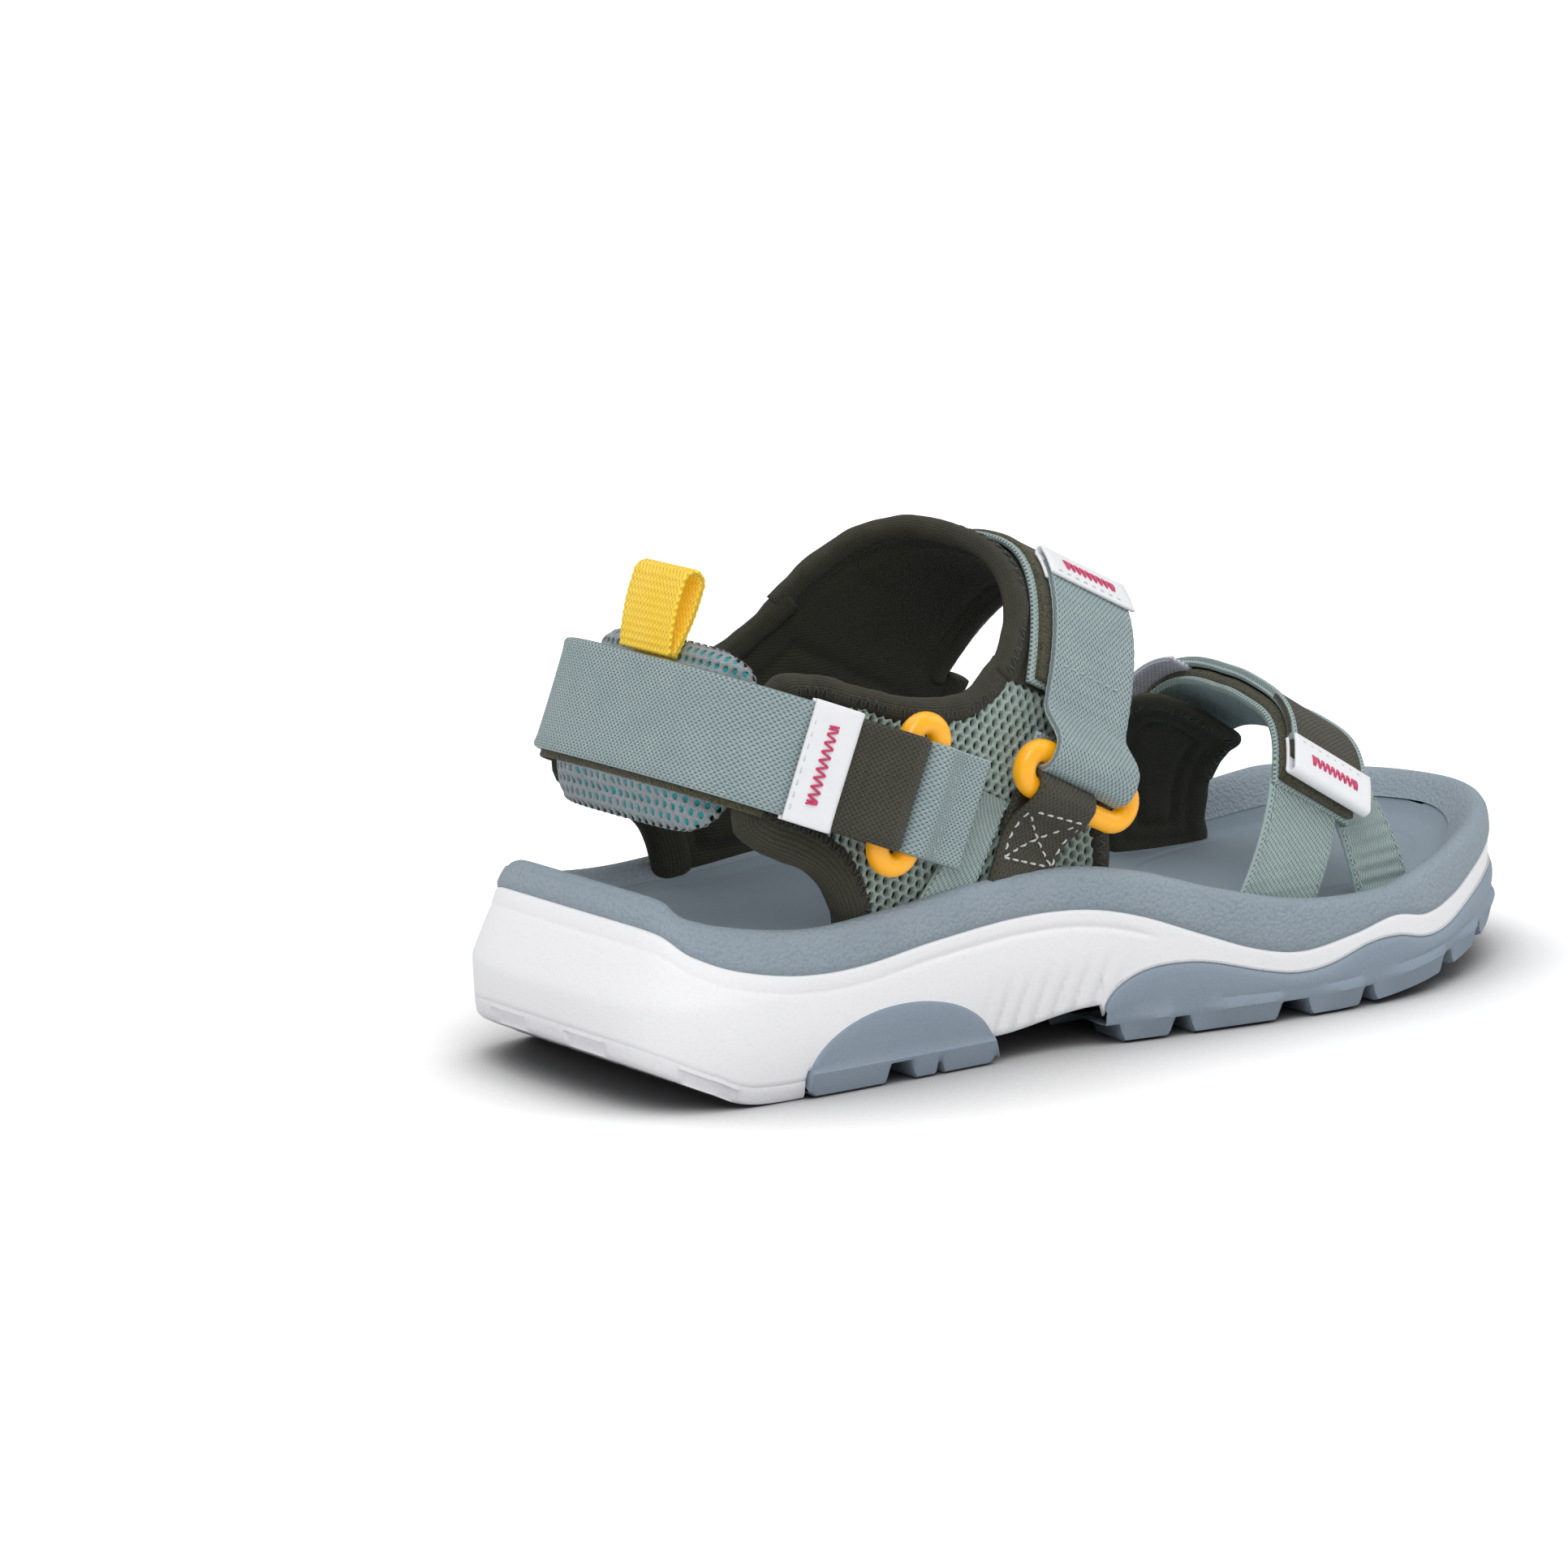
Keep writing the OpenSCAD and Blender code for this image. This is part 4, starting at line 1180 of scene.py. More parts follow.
def instep_piece():
    u = np.linspace(SEAM_U - 1.5, 180.5 - SEAM_U, 90)
    y = ANKLE.base(u)[0]
    rear, front = np.interp(y, REAR[:, 0], REAR[:, 1]), np.interp(y, FRONT[:, 0], FRONT[:, 1])
    k = np.linspace(0, 1, 60)
    s = rear[:, None] + (front - rear)[:, None] * k[None, :]
    from_edge = np.minimum(s - rear[:, None], front[:, None] - s)
    swell = np.sqrt(np.clip(1 - (1 - np.clip(from_edge / 3.0, 0, 1)) ** 2, 0, 1))
    seam = np.exp(-((from_edge - 7.5) / 0.8) ** 2)
    uu = np.broadcast_to(u[:, None], s.shape)
    mid = BAND_T / 2
    top = ANKLE.at(s, uu, mid + (mid - 0.3) * swell - 0.7 * seam)
    inner_pad = smooth(9, 11, from_edge) * smooth(SEAM_U + 14, SEAM_U + 18, uu) * (1 - smooth(120, 124, uu))
    low = ANKLE.at(s, uu, mid - (mid - 0.2) * swell + 0.5 * seam - 0.7 * inner_pad)
    shape = Shape()
    length = ANKLE.l_of_u(uu)
    shape.grid(top, np.stack([length, s], -1))
    shape.grid(low[:, ::-1], np.stack([length, s], -1)[:, ::-1])
    make("instep_band_padded", shape, PADDED, ["instep_band"])
    bind, stitches = Shape(), []
    for edge, shift in ((rear, 2.6), (front, -2.2)):
        centre = ANKLE.at(edge + shift, u, mid)
        roll(bind, centre, ANKLE.out(u), 6.0, BAND_T + 0.9)
        stitches += roll_stitches(centre, ANKLE.out(u), 6.0, BAND_T + 0.9, 1 if shift > 0 else -1)
    make("instep_binding_roll", bind, KNIT)
    make("instep_binding_stitches", threads(stitches, 0.26, 0.3), DARK)


instep_piece()

# --- Rings ---------------------------------------------------------------------------
RING_L, RING_W = 40.0, 14.6
BAR = RING_W / 2 - RING_R
RING_S, RING_HEIGHT, RING_Y = 84, 112, 43.8
HEEL_BAR = HEEL.back + HEEL.run
STRAP_H = 90


def ring_piece(name, body, long_dir, short_dir):
    lo, hi = (np.array(c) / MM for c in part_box(name))
    centre = (lo + hi) / 2 - np.array([HEEL_X, 0, 0])
    straight = RING_L / 2 - RING_W / 2
    turn = np.radians(np.arange(-90, 91, 7.5))
    end = np.stack([straight + BAR * np.cos(turn), BAR * np.sin(turn)], 1)
    line = np.concatenate([end, -end])
    line = even(np.concatenate([line, line[:1]]), 1.0, True)
    path = centre + line[:, :1] * long_dir + line[:, 1:] * short_dir
    t = unit(np.roll(path, -1, 0) - np.roll(path, 1, 0))
    through = np.cross(long_dir, short_dir)
    side = np.cross(t, through)
    a = np.linspace(0, 2 * math.pi, 28, endpoint=False)
    sec = RING_R * np.stack([squarish(np.cos(a), 0.94), squarish(np.sin(a), 0.94)], 1)
    rings = path[:, None, :] + sec[None, :, :1] * side[:, None, :] + sec[None, :, 1:] * through
    shape = Shape()
    shape.grid(rings, wrap_rows=True, wrap_cols=True)
    make(name + "_plastic", shape, AMBER, [name], body)


ankle_short = np.array([ANKLE.sin, 0, ANKLE.cos])
heel_short = np.array([HEEL.cos, 0, -HEEL.sin])
for side in ("lateral", "medial"):
    ring_piece(side + "_ankle_ring", "ring_" + side + "_ankle", ANKLE.axis, ankle_short)
    ring_piece(side + "_heel_ring", "ring_" + side + "_heel", HEEL.axis, heel_short)


# --- Straps on the ankle form ------------------------------------------------------------
def ankle_path(points, flip=1):
    """Section-plane points (y, w) to a path at the ring's place along the slope."""
    line = catmull(points, 0.5)
    return ANKLE.world(RING_S, line[:, 0] * flip, line[:, 1])


def arc_points(form, u0, u1, o, count=12):
    """Section-plane points along an arch."""
    u = np.linspace(u0, u1, count)
    y, w = form.section(u, o)
    return list(zip(y, w))


HOLDER_W = 18.5
HOLDER_S = RING_S - WEB_W / 2 + HOLDER_W / 2
HOLDER_O = 5.6


def holder_line():
    """Lateral ankle holder in its section plane: up to the ring, round its bar and back."""
    low, y = RING_HEIGHT - BAR, RING_Y
    return ([(-41.6, 76), (-41.6, 82)] + arc_points(ANKLE, 12, 15, HOLDER_O, 3)
            + [(-42.2, low - 8), (-46, low - 3.8), (-y - 3.95, low), (-y - 2.8, low + 2.8), (-y, low + 3.95),
               (-y + 2.8, low + 2.8), (-y + 3.8, low), (-y + 4.2, low - 6), (-39.2, low - 11)])


def ankle_straps():
    bar_up, y, o = RING_HEIGHT + BAR, RING_Y, 8.6
    strap = arc_points(ANKLE, 72.5, 40, o)
    y1, w1 = strap[-1]
    strap += [(y1 - 1.9, w1 - 4.2), (-y - 3.0, bar_up + 4.6), (-y - 4.8, bar_up + 0.8),
              (-y - 3.8, bar_up - 3.0), (-y, bar_up - 4.5), (-y + 3.8, bar_up - 2.9),
              (-y + 4.8, bar_up + 0.6), (-y + 5.0, bar_up + 4)]
    shape = band(ankle_path(strap), ANKLE.axis, WEB_W, 1.8, 0.12, 3.2)
    piece = make("ankle_strap_webbing", shape, GREY_WEB,
                 ["ankle_strap_loop", "ankle_strap_flap"], None)
    metres(ANKLE.at(RING_S, 34, o))
    metres(ANKLE.at(RING_S, 42, o))
    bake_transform(piece)
    tab_piece("ankle_strap_tab", ANKLE, RING_S, 67.5, 76.5, 7.7, 10.7, "ankle_flap")
    line = [(ANKLE.at(RING_S - 11 + t, 46, o + 0.95), ANKLE.at(RING_S - 9 + t, 46, o + 0.95),
             ANKLE.out(46)) for t in np.arange(0, 20, 2.9)]
    make("ankle_strap_stitches", threads(line), SAGE_THREAD, body="ankle_flap")
    for side, flip in (("lateral", 1), ("medial", -1)):
        path = ankle_path(holder_line(), flip) + (HOLDER_S - RING_S) * ANKLE.axis
        shape = band(path, ANKLE.axis, HOLDER_W, 1.7, 0.14, 3.0, seed=flip, slant=ANKLE.sin / ANKLE.cos)
        make(side + "_ankle_holder_webbing", shape, OLIVE_WEB,
             [side + "_ankle_holder"])
        box_stitch(side + "_ankle_holder_stitches", flip)


def box_stitch(name, flip):
    """Box with a cross, sewn through the holder above the sole."""
    line = catmull(holder_line(), 0.5)
    line = line[:np.argmax(line[:, 1] > RING_HEIGHT - BAR - 3)]
    s0, s1 = HOLDER_S - HOLDER_W / 2 + 1.6, HOLDER_S + HOLDER_W / 2 - 1.6
    corners = [(s0, 89.5), (s1, 92), (s1, 104), (s0, 102)]
    lines = list(zip(corners, corners[1:] + corners[:1]))
    lines += [(corners[0], corners[2]), (corners[1], corners[3])]
    out = np.array([0, -1.0 * flip, 0])
    ends = []
    for (a0, a1), (b0, b1) in lines:
        length = math.hypot(b0 - a0, b1 - a1)

        def at(t):
            k = t / length
            w = a1 + (b1 - a1) * k
            y = np.interp(w, line[:, 1], line[:, 0]) - 1.0
            return ANKLE.world(a0 + (b0 - a0) * k, y * flip, w)

        ends += [(at(t), at(t + 2), out) for t in np.arange(0.3, length - 2, 2.8)]
    make(name, threads(ends, 0.3, 0.3), PALE)


def folded_tab(node, stem, body, place, axis, out, faces, ends, width, zig):
    """White film folded over a strap's free end, with a pink zigzag and a seam. place(a, u, o)
    takes a across the strap in mm, u along it and o outwards. stem starts the stitches' names;
    faces are the offsets of the tab's two sides; ends are u at the start, end and fold, the
    middle, a mm in u, and the seam; zig is the zigzag's half length and pitch."""
    film_t = 0.8
    low, high = faces
    start, end, fold, middle, mm_u, seam = ends
    half, pitch = zig
    us = np.linspace(start, end, 8)
    path = [place(0, u, high - film_t / 2) for u in us] + [place(0, fold, (low + high) / 2)]
    path += [place(0, u, low + film_t / 2) for u in us[::-1]]
    shape = band(catmull(path, 0.4), axis, width, film_t, 0.0, uneven=0.18, step=0.5)
    make(node + "_film", shape, TAB, [node], body)

    def at(t, a):
        return place(t - half, middle + a * mm_u, high + 0.05)

    stitches = zigzag(at, out, 2 * half, pitch, 1.7)
    for t0 in (0.0, 2 * half - 1.2):
        stitches += [(at(t0 + d, 1.7), at(t0 + d + 0.4, -1.7), out) for d in (0.2, 0.8)]
    make(stem + "_zigzag", threads(stitches, 0.3, 0.25, 0.3), PINK, body=body)
    stitches = [(place(a, seam, high), place(a + 1.6, seam, high), out) for a in np.arange(-12, 11, 2.9)]
    make(stem + "_seam", threads(stitches, 0.18, 0.1, 0.2), PALE, body=body)


def tab_piece(node, form, s, u0, u1, low, high, body):
    """A folded tab on an arch, from u0 to its end at u1."""
    way, um = np.sign(u1 - u0), (u0 + u1) / 2
    mm_u = 1 / np.linalg.norm(form.at(s, um + 0.5, high) - form.at(s, um - 0.5, high))
    ends = (u0, u1 - 0.6 * way, u1 + 0.1 * way, um, mm_u, u0 + 1.4 * mm_u * way)
    folded_tab(node, node + "_film", body, lambda a, u, o: form.at(s + a, u, o), form.axis,
               form.out(um), (low, high), ends, 28.6, (8.5, 1.9))


def instep_strap():
    """Olive pile on grey-edged webbing over the instep band, held on the medial ring."""
    bar_up, y, o = RING_HEIGHT + BAR, RING_Y, 5.6
    line = arc_points(ANKLE, 41, 143, o, 30)
    y1, w1 = line[-1]
    line += [(y1 + 2.4, w1 - 3.4), (y + 2.2, bar_up + 4.8), (y + 4.7, bar_up + 1.2),
             (y + 3.8, bar_up - 2.8), (y, bar_up - 4.4), (y - 3.8, bar_up - 2.9), (y - 4.7, bar_up + 0.6)]
    path = ANKLE.world(RING_S - 2.2, *catmull(line, 0.5).T)
    shape = band(path, ANKLE.axis, 32, 1.4, 0.05)
    make("instep_strap_webbing", shape, SAGE_WEB, ["instep_pile_strap"])
    path = ANKLE.world(RING_S - 2.2, *catmull(arc_points(ANKLE, 42, 140, o + 1.0, 30), 0.5).T)
    shape = band(path, ANKLE.axis, 28.6, 1.6, 0.0, uneven=0.35)
    make("instep_strap_pile", shape, PILE)


ankle_straps()
instep_strap()


def slanted_web(name, form, flip, o, knots, floor_z, thick, rib, pitch, nodes):
    """Webbing whose sides lean: each knot is (u, s of its rear side, s of its front side).
    It starts at the height floor_z, inside the footbed."""
    place_u, rear, front = np.array(knots, float).T
    width = np.mean(front - rear)
    sec = rounded_section(width, thick, 26)
    selvedge = np.exp(-((np.abs(sec[:, 0]) - width / 2 + 1.1) / 0.9) ** 2)
    mirror = np.array([1, flip, 1])
    u = np.linspace(place_u[0], place_u[-1], 500)
    rear, front = np.interp(u, place_u, rear), np.interp(u, place_u, front)
    run = form.l_of_u(u)

    def column(share):
        """s, u and run along one line of the webbing, above the floor."""
        s = rear + (front - rear) * share
        first = int(np.argmax(form.at(s, u, o)[:, 2] > floor_z))
        where = np.linspace(run[first], run[-1], int((run[-1] - run[0]) / 0.6))
        return np.interp(where, run, s), np.interp(where, run, u), where

    points, uvs = [], []
    for (across, high), thicker in zip(sec, selvedge):
        s, at_u, where = column(across / width + 0.5)
        flat = form.at(s, at_u, o)
        waves = np.sign(high) * rib * np.sin(2 * math.pi * flat[:, 2] / pitch) * (1 - thicker)
        height = high * (1 + 0.3 * thicker) + waves
        points.append(form.at(s, at_u, o + height + wobble(flat, 9.0, 0.2, rib)))
        uvs.append(np.column_stack([flat[:, 2], np.full(len(where), across)]))
    shape = Shape()
    shape.grid(np.swapaxes(np.array(points), 0, 1) * mirror, np.swapaxes(np.array(uvs), 0, 1),
               wrap_cols=True, cap_rows=True)
    make(name, shape, SAGE_WEB, nodes)
    ends = []
    for share in (0.06, 0.94):
        s, at_u, where = column(share)
        for k in range(2, len(where) - 4, 5):
            p = form.at(s[[k, k + 3]], at_u[[k, k + 3]], o + thick / 2 + 0.25) * mirror
            ends.append((p[0], p[1], form.out(at_u[k]) * mirror))
    make(name + "_stitches", threads(ends, 0.2, 0.15, 0.25), SAGE_THREAD)


def diagonal_webs():
    """Grey webbing from the sole up to the ankle ring's lower end."""
    knots = []
    for rear, front in (((67, 30), (88, 30)), ((99.5, 64.5), (107, 61.5))):
        (s0, u0), (s1, _) = ANKLE.side_place(rear), ANKLE.side_place(front)
        knots.append((u0, s0, s1))
    for side, flip in (("lateral", 1), ("medial", -1)):
        slanted_web(side + "_diagonal_webbing", ANKLE, flip, QUARTER_T + 1.2, knots, 39, 1.4, 0.05, 3.0,
                    [side + "_diagonal_web"])


diagonal_webs()


# --- Heel strap, pad and pull loop -------------------------------------------------------
def heel_path(points):
    """Plan points (x, y) to a path at the strap's height."""
    line = catmull(points, 0.5)
    return HEEL.world(line[:, 0], line[:, 1], STRAP_H)


def heel_points(v0, v1, o, count=30):
    """Plan points along the line round the heel."""
    v = np.linspace(v0, v1, count)
    x, y = HEEL.plan(v, o)
    return list(zip(x, y))


def around_bar(x, y, side, outer=4.0):
    """Path points round a bar, from its outer side over the front to its inner side."""
    return [(x - 1.0, side * (y + outer - 0.1)), (x + 2.6, side * (y + outer * 0.72)),
            (x + outer, side * y), (x + 2.6, side * (y - outer * 0.72)), (x - 1.0, side * (y - outer + 0.1))]


def heel_straps():
    o = 2.4
    y = HEEL.half
    points = [(HEEL_BAR - 13, y - 2.9), (HEEL_BAR - 7, y - 3.6)] + around_bar(HEEL_BAR, y, 1)[::-1]
    points += [(HEEL_BAR - 8, y + 3.2)] + heel_points(76, -66, o, 60)
    shape = band(heel_path(points), HEEL.axis, WEB_W, 1.9, 0.05, 3.0, flip=True, seed=2)
    piece = make("heel_strap_webbing", shape, GREY_WEB,
                 ["heel_strap_band", "heel_strap_flap"], None)
    metres(HEEL.at(-29, STRAP_H, o))
    metres(HEEL.at(-37, STRAP_H, o))
    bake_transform(piece)
    ends = []
    for h in (STRAP_H - WEB_W / 2 + 1.5, STRAP_H + WEB_W / 2 - 1.5):
        for length in np.arange(-38, 62, 3.3):
            v = HEEL.v_of_l(np.array([length, length + 2.2]))
            p = HEEL.at(v, h, o + 0.95)
            nx, ny = HEEL.normal(v[:1])
            ends.append((p[0], p[1], HEEL.world(nx[0], ny[0], 0)))
    make("heel_strap_edge_stitches", threads(ends, 0.2, 0.1, 0.25), SAGE_THREAD)
    points = [(HEEL_BAR - 12, -y + 3.0), (HEEL_BAR - 7, -y + 4.1)] + around_bar(HEEL_BAR, y, -1, 4.7)[::-1]
    points += [(HEEL_BAR - 8, -y - 2.6), (HEEL_BAR - 12, -y - 0.8)] + heel_points(-80, -45, 0.1, 14)
    shape = band(heel_path(points), HEEL.axis, WEB_W - 0.3, 1.8, 0.12, 2.4, seed=4)
    piece = make("heel_pile_strap_webbing", shape, OLIVE_WEB, ["heel_pile_strap"], None)
    metres(HEEL.world(HEEL_BAR - 15, -y, STRAP_H))
    metres(HEEL.world(HEEL_BAR - 5, -y, STRAP_H))
    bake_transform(piece)
    v = np.linspace(58, -58, 80)
    path = HEEL.at(v, STRAP_H - 1.1, 0.9)
    shape = band(path, HEEL.axis, WEB_W + 1.0, 1.0, 0.0, uneven=0.3, flip=True, seed=9)
    make("heel_strap_pile", shape, PILE)
    heel_tab()
    front_bar = HEEL_BAR + 2 * BAR
    for side, flip in (("lateral", -1), ("medial", 1)):
        points = [(front_bar + 17, flip * (y - 1.2)), (front_bar + 9, flip * (y - 0.6)),
                  (front_bar + 4.5, flip * (y + 1.8)), (front_bar + 0.8, flip * (y + 3.9)),
                  (front_bar - 2.6, flip * (y + 2.8)), (front_bar - 3.9, flip * y),
                  (front_bar - 2.6, flip * (y - 2.8)), (front_bar + 1.0, flip * (y - 3.9)),
                  (front_bar + 7, flip * (y - 3.2)), (front_bar + 13, flip * (y - 3.0))]
        shape = band(heel_path(points), HEEL.axis, WEB_W - 0.5, 1.5, 0.06, 3.0, flip=flip < 0, seed=6 + flip)
        make(side + "_heel_holder_webbing", shape, GREY_WEB,
             [side + "_heel_holder"])
        x = front_bar + 6.5
        ends = [(HEEL.world(x, flip * (y + 1.45), h), HEEL.world(x, flip * (y + 1.45), h + 2.0),
                 np.array([0, flip, 0])) for h in np.arange(STRAP_H - 12, STRAP_H + 11, 2.9)]
        make(side + "_heel_holder_stitches", threads(ends, 0.2, 0.12), SAGE_THREAD)


def heel_tab():
    middle = -72
    nx, ny = HEEL.normal(np.array([middle]))
    folded_tab("heel_strap_tab", "heel_strap_tab", "heel_flap",
               lambda a, v, o: HEEL.at(v, STRAP_H + a, o), HEEL.axis, HEEL.world(nx[0], ny[0], 0),
               (1.6, 4.9), (-64, -79, -80.3, middle, 1.25, -65.5), WEB_W + 1.4, (9.5, 2.1))


PAD_LOW, PAD_HIGH = 66, 109.5
PAD_HALF = float(np.interp(43, HEEL.v_table, HEEL.l_table))
PAD_HALF_H = (PAD_HIGH - PAD_LOW) / 2
PAD_MID = np.array([0, PAD_LOW + PAD_HALF_H])
PAD_CENTRE = -6.2
PAD_ROWS, PAD_COLS = 90, 50
PAD_SQUARE, PAD_ROUND = 5, 3.2


def pad_reach(pts):
    """0 in the middle of the pad and 1 at its rim, at (length, height)."""
    return ((np.abs(pts[:, 0]) / PAD_HALF) ** PAD_SQUARE
            + (np.abs(pts[:, 1] - PAD_MID[1]) / PAD_HALF_H) ** PAD_ROUND)


def pad_drawn(pts, side):
    """Offset of the pad's outer face (side 1) or inner face (side -1), pressed by the strap."""
    swell = (1 - np.clip(pad_reach(pts), 0, 1)) ** 0.42
    if side < 0:
        return PAD_CENTRE - 4.6 * swell
    press = smooth(12.5, 16.5, np.abs(pts[:, 1] - STRAP_H))
    return PAD_CENTRE + (4.2 + 2.3 * press) * swell


def pad_place(pts, o):
    """Place at a length round the heel, a height and an offset."""
    return HEEL.at(HEEL.v_of_l(pts[:, 0]), pts[:, 1], o)


def applied(piece):
    """The mesh of a piece with its modifiers applied."""
    graph = bpy.context.evaluated_depsgraph_get()
    return bpy.data.meshes.new_from_object(piece.evaluated_get(graph))


def places(mesh):
    return np.array([v.co for v in mesh.vertices])


def swell_as_cloth(points, faces, voxel, cap):
    """Remeshes a closed shape (mm) and blows it up as cloth, each point by cap mm at most.
    The simulation works at ten times the size, where the cloth solver is steady."""
    scale = 10 * MM
    mesh = bpy.data.meshes.new("padding")
    mesh.from_pydata((points * scale).tolist(), [], faces)
    piece = bpy.data.objects.new("padding", mesh)
    scene = bpy.context.scene
    scene.collection.objects.link(piece)
    remesh = piece.modifiers.new("remesh", "REMESH")
    remesh.mode = "VOXEL"
    remesh.voxel_size = voxel * scale
    even_mesh = applied(piece)
    piece.modifiers.clear()
    piece.data = even_mesh
    cloth = piece.modifiers.new("cloth", "CLOTH")
    cloth.settings.use_pressure = True
    cloth.settings.uniform_pressure_force = 4
    cloth.settings.effector_weights.gravity = 0
    cloth.collision_settings.use_collision = False
    for step in range(1, 21):
        scene.frame_set(step)
    start = places(even_mesh)
    move = places(applied(piece)) - start
    scene.frame_set(1)
    piece.modifiers.clear()
    size = np.linalg.norm(move, axis=1, keepdims=True)
    end = start + move * np.minimum(1, cap * scale / np.maximum(size, 1e-9))
    even_mesh.vertices.foreach_set("co", end.ravel())
    piece.modifiers.new("finer", "SUBSURF").levels = 1
    fine = applied(piece)
    bpy.data.objects.remove(piece)
    return places(fine) / scale, [tuple(f.vertices) for f in fine.polygons]


def pad_surface():
    """The pad's two faces as offset(pts, side): as drawn, or blown up as cloth."""
    grid = pad_grid(0.97)
    shape = Shape()
    for side in (1, -1):
        o = PAD_CENTRE + (pad_drawn(grid, side) - PAD_CENTRE) * 0.85
        shape.grid(pad_rows(grid, o)[:, ::side])
    tree = BVHTree.FromPolygons(*swell_as_cloth(np.concatenate(shape.points), shape.faces, 3.0, 2.2))
    far, slack = 14, 1.6

    def blown(pts, side):
        plain = pad_drawn(pts, side)
        found = []
        ways = pad_place(pts, PAD_CENTRE + side) - pad_place(pts, PAD_CENTRE)
        for start, way, rest in zip(pad_place(pts, PAD_CENTRE), ways, plain):
            hit = tree.ray_cast(Vector(start + way * far), Vector(-way))
            near = hit[0] is not None and hit[3] < far
            o = PAD_CENTRE + side * (far - hit[3]) if near else PAD_CENTRE
            found.append(np.clip(o, rest - slack, rest + slack))
        o = np.array(found)
        pressed = np.abs(pts[:, 1] - STRAP_H) < WEB_W / 2 + 0.5
        return np.where(pressed & (side > 0), np.minimum(o, plain), o)

    return blown


def pad_grid(share):
    """Points over the pad, out to a share of its rim."""
    a, b = np.linspace(-1, 1, PAD_ROWS), np.linspace(-1, 1, PAD_COLS)
    aa, bb = np.meshgrid(np.sin(a * math.pi / 2), np.sin(b * math.pi / 2), indexing="ij")
    aa, bb = aa.ravel(), bb.ravel()
    radius = np.maximum(1, (np.abs(aa) ** PAD_SQUARE + np.abs(bb) ** PAD_ROUND) ** (1 / 4))
    return PAD_MID + np.stack([aa * PAD_HALF, bb * PAD_HALF_H], 1) / radius[:, None] * share


def pad_rows(pts, o):
    return pad_place(pts, o).reshape(PAD_ROWS, PAD_COLS, 3)


def heel_pad():
    """Teal core under perforated mesh, with a lining on the foot's side."""
    offset = pad_surface()
    pts = pad_grid(0.965)
    shape = Shape()
    shape.grid(pad_rows(pts, offset(pts, 1) - 0.4))
    make("heel_pad_core", shape, TEAL)
    pts = pad_grid(1)
    shape = Shape()
    shape.grid(pad_rows(pts, offset(pts, -1))[:, ::-1], pts.reshape(PAD_ROWS, PAD_COLS, 2)[:, ::-1])
    make("heel_pad_lining", shape, PADDED)

    def keep(cells):
        return pad_reach(cells) < 1.18

    keep.span = ((-PAD_HALF - 2, PAD_LOW - 2), (PAD_HALF + 2, PAD_HIGH + 2))

    def place(cells, drop):
        held = PAD_MID + (cells - PAD_MID) / np.maximum(1, pad_reach(cells) ** 0.25)[:, None]
        return pad_place(held, offset(held, 1) + 0.3 - drop)

    shape = lattice(keep, place, 2.8, 0.72, 0.8, 1.1, 11)
    make("heel_pad_mesh", shape, PAD_MESH, ["heel_pad"])


def pull_loop():
    foot = STRAP_H + WEB_W / 2 + 1.1
    r, tall = 2.9, 17.4
    turn = np.radians(np.arange(180, -1, -15))
    line = [(-0.7, 0), (-1.9, 5), (-2.8, 11)] + [(r * math.cos(t), tall + r * math.sin(t)) for t in turn]
    line += [(2.8, 11), (1.9, 5), (0.7, 0)]
    line = catmull(line, 0.3)
    path = HEEL.world(HEEL.back + line[:, 0], 0, foot + line[:, 1])
    shape = band(path, np.array([0, 1.0, 0]), PULL_W, 1.3, 0.2, 1.75, step=0.3, uneven=0.12, flip=True)
    make("pull_loop_webbing", shape, YELLOW_WEB, ["pull_loop"], "pull")
    n = strap_frame(path, np.array([0, 1.0, 0]))[2]
    ends = [(path[k] - n[k] * 0.75, path[k + 5] - n[k] * 0.75, -n[k])
            for k in range(6, len(path) // 2 + 4, 9)]
    make("pull_loop_stitches", threads(ends, 0.42, 0.25, 0.2), CREAM, body="pull")
    h = np.linspace(STRAP_H - 8, foot - 1.0, 20)
    path = HEEL.world(HEEL.back, 0, h)
    shape = band(path, np.array([0, 1.0, 0]), PULL_W, 1.6, 0.1, 1.35, step=0.3, uneven=0.05)
    make("pull_loop_root_webbing", shape, YELLOW_WEB, ["pull_loop_root"])


heel_straps()
heel_pad()
pull_loop()


# --- Toe closure -----------------------------------------------------------------------------
TOE_REAR, TOE_SKEW = 136, 11
TAB_U0, FLAP_U0 = 35, 46


def toe_middle(y):
    """Place of the strap's middle along the slope: it slants forward towards the inner side."""
    return TOE_REAR + TOE_SKEW * np.clip((y + 37.3) / 64.6, 0, 1) + WEB_W / 2


def toe_rise(u):
    """How far the strap stands off the arch: more at the inner side, less at the crown."""
    return 3.6 * np.exp(-((u - 120) / 17) ** 2) - 2.6 * np.exp(-((u - 78) / 18) ** 2)


def toe_line(u, o, aside=0.0):
    """Path over the toes at an offset, moved aside from the strap's middle."""
    u = np.asarray(u, float)
    return TOE.at(toe_middle(TOE.base(u)[0]) + aside, u, o + toe_rise(u))


def toe_legs():
    """The two legs on the lateral side, sewn together under the pile strap."""
    slanted_web("toe_rear_leg_webbing", TOE, 1, 0.4, ((-10, 135.7, 159.7), (35, 135.7, 159.7)),
                22, 1.4, 0.06, 3.0, ["toe_rear_leg"])
    knots = ((8, 182.3, 206.8), (19.3, 173, 198.1), (34.2, 162.6, 188.2), (46, 156, 182), (58, 150, 175.5))
    slanted_web("toe_front_leg_webbing", TOE, 1, -1.5, knots, 22, 1.7, 0.3, 3.1, ["toe_front_leg"])


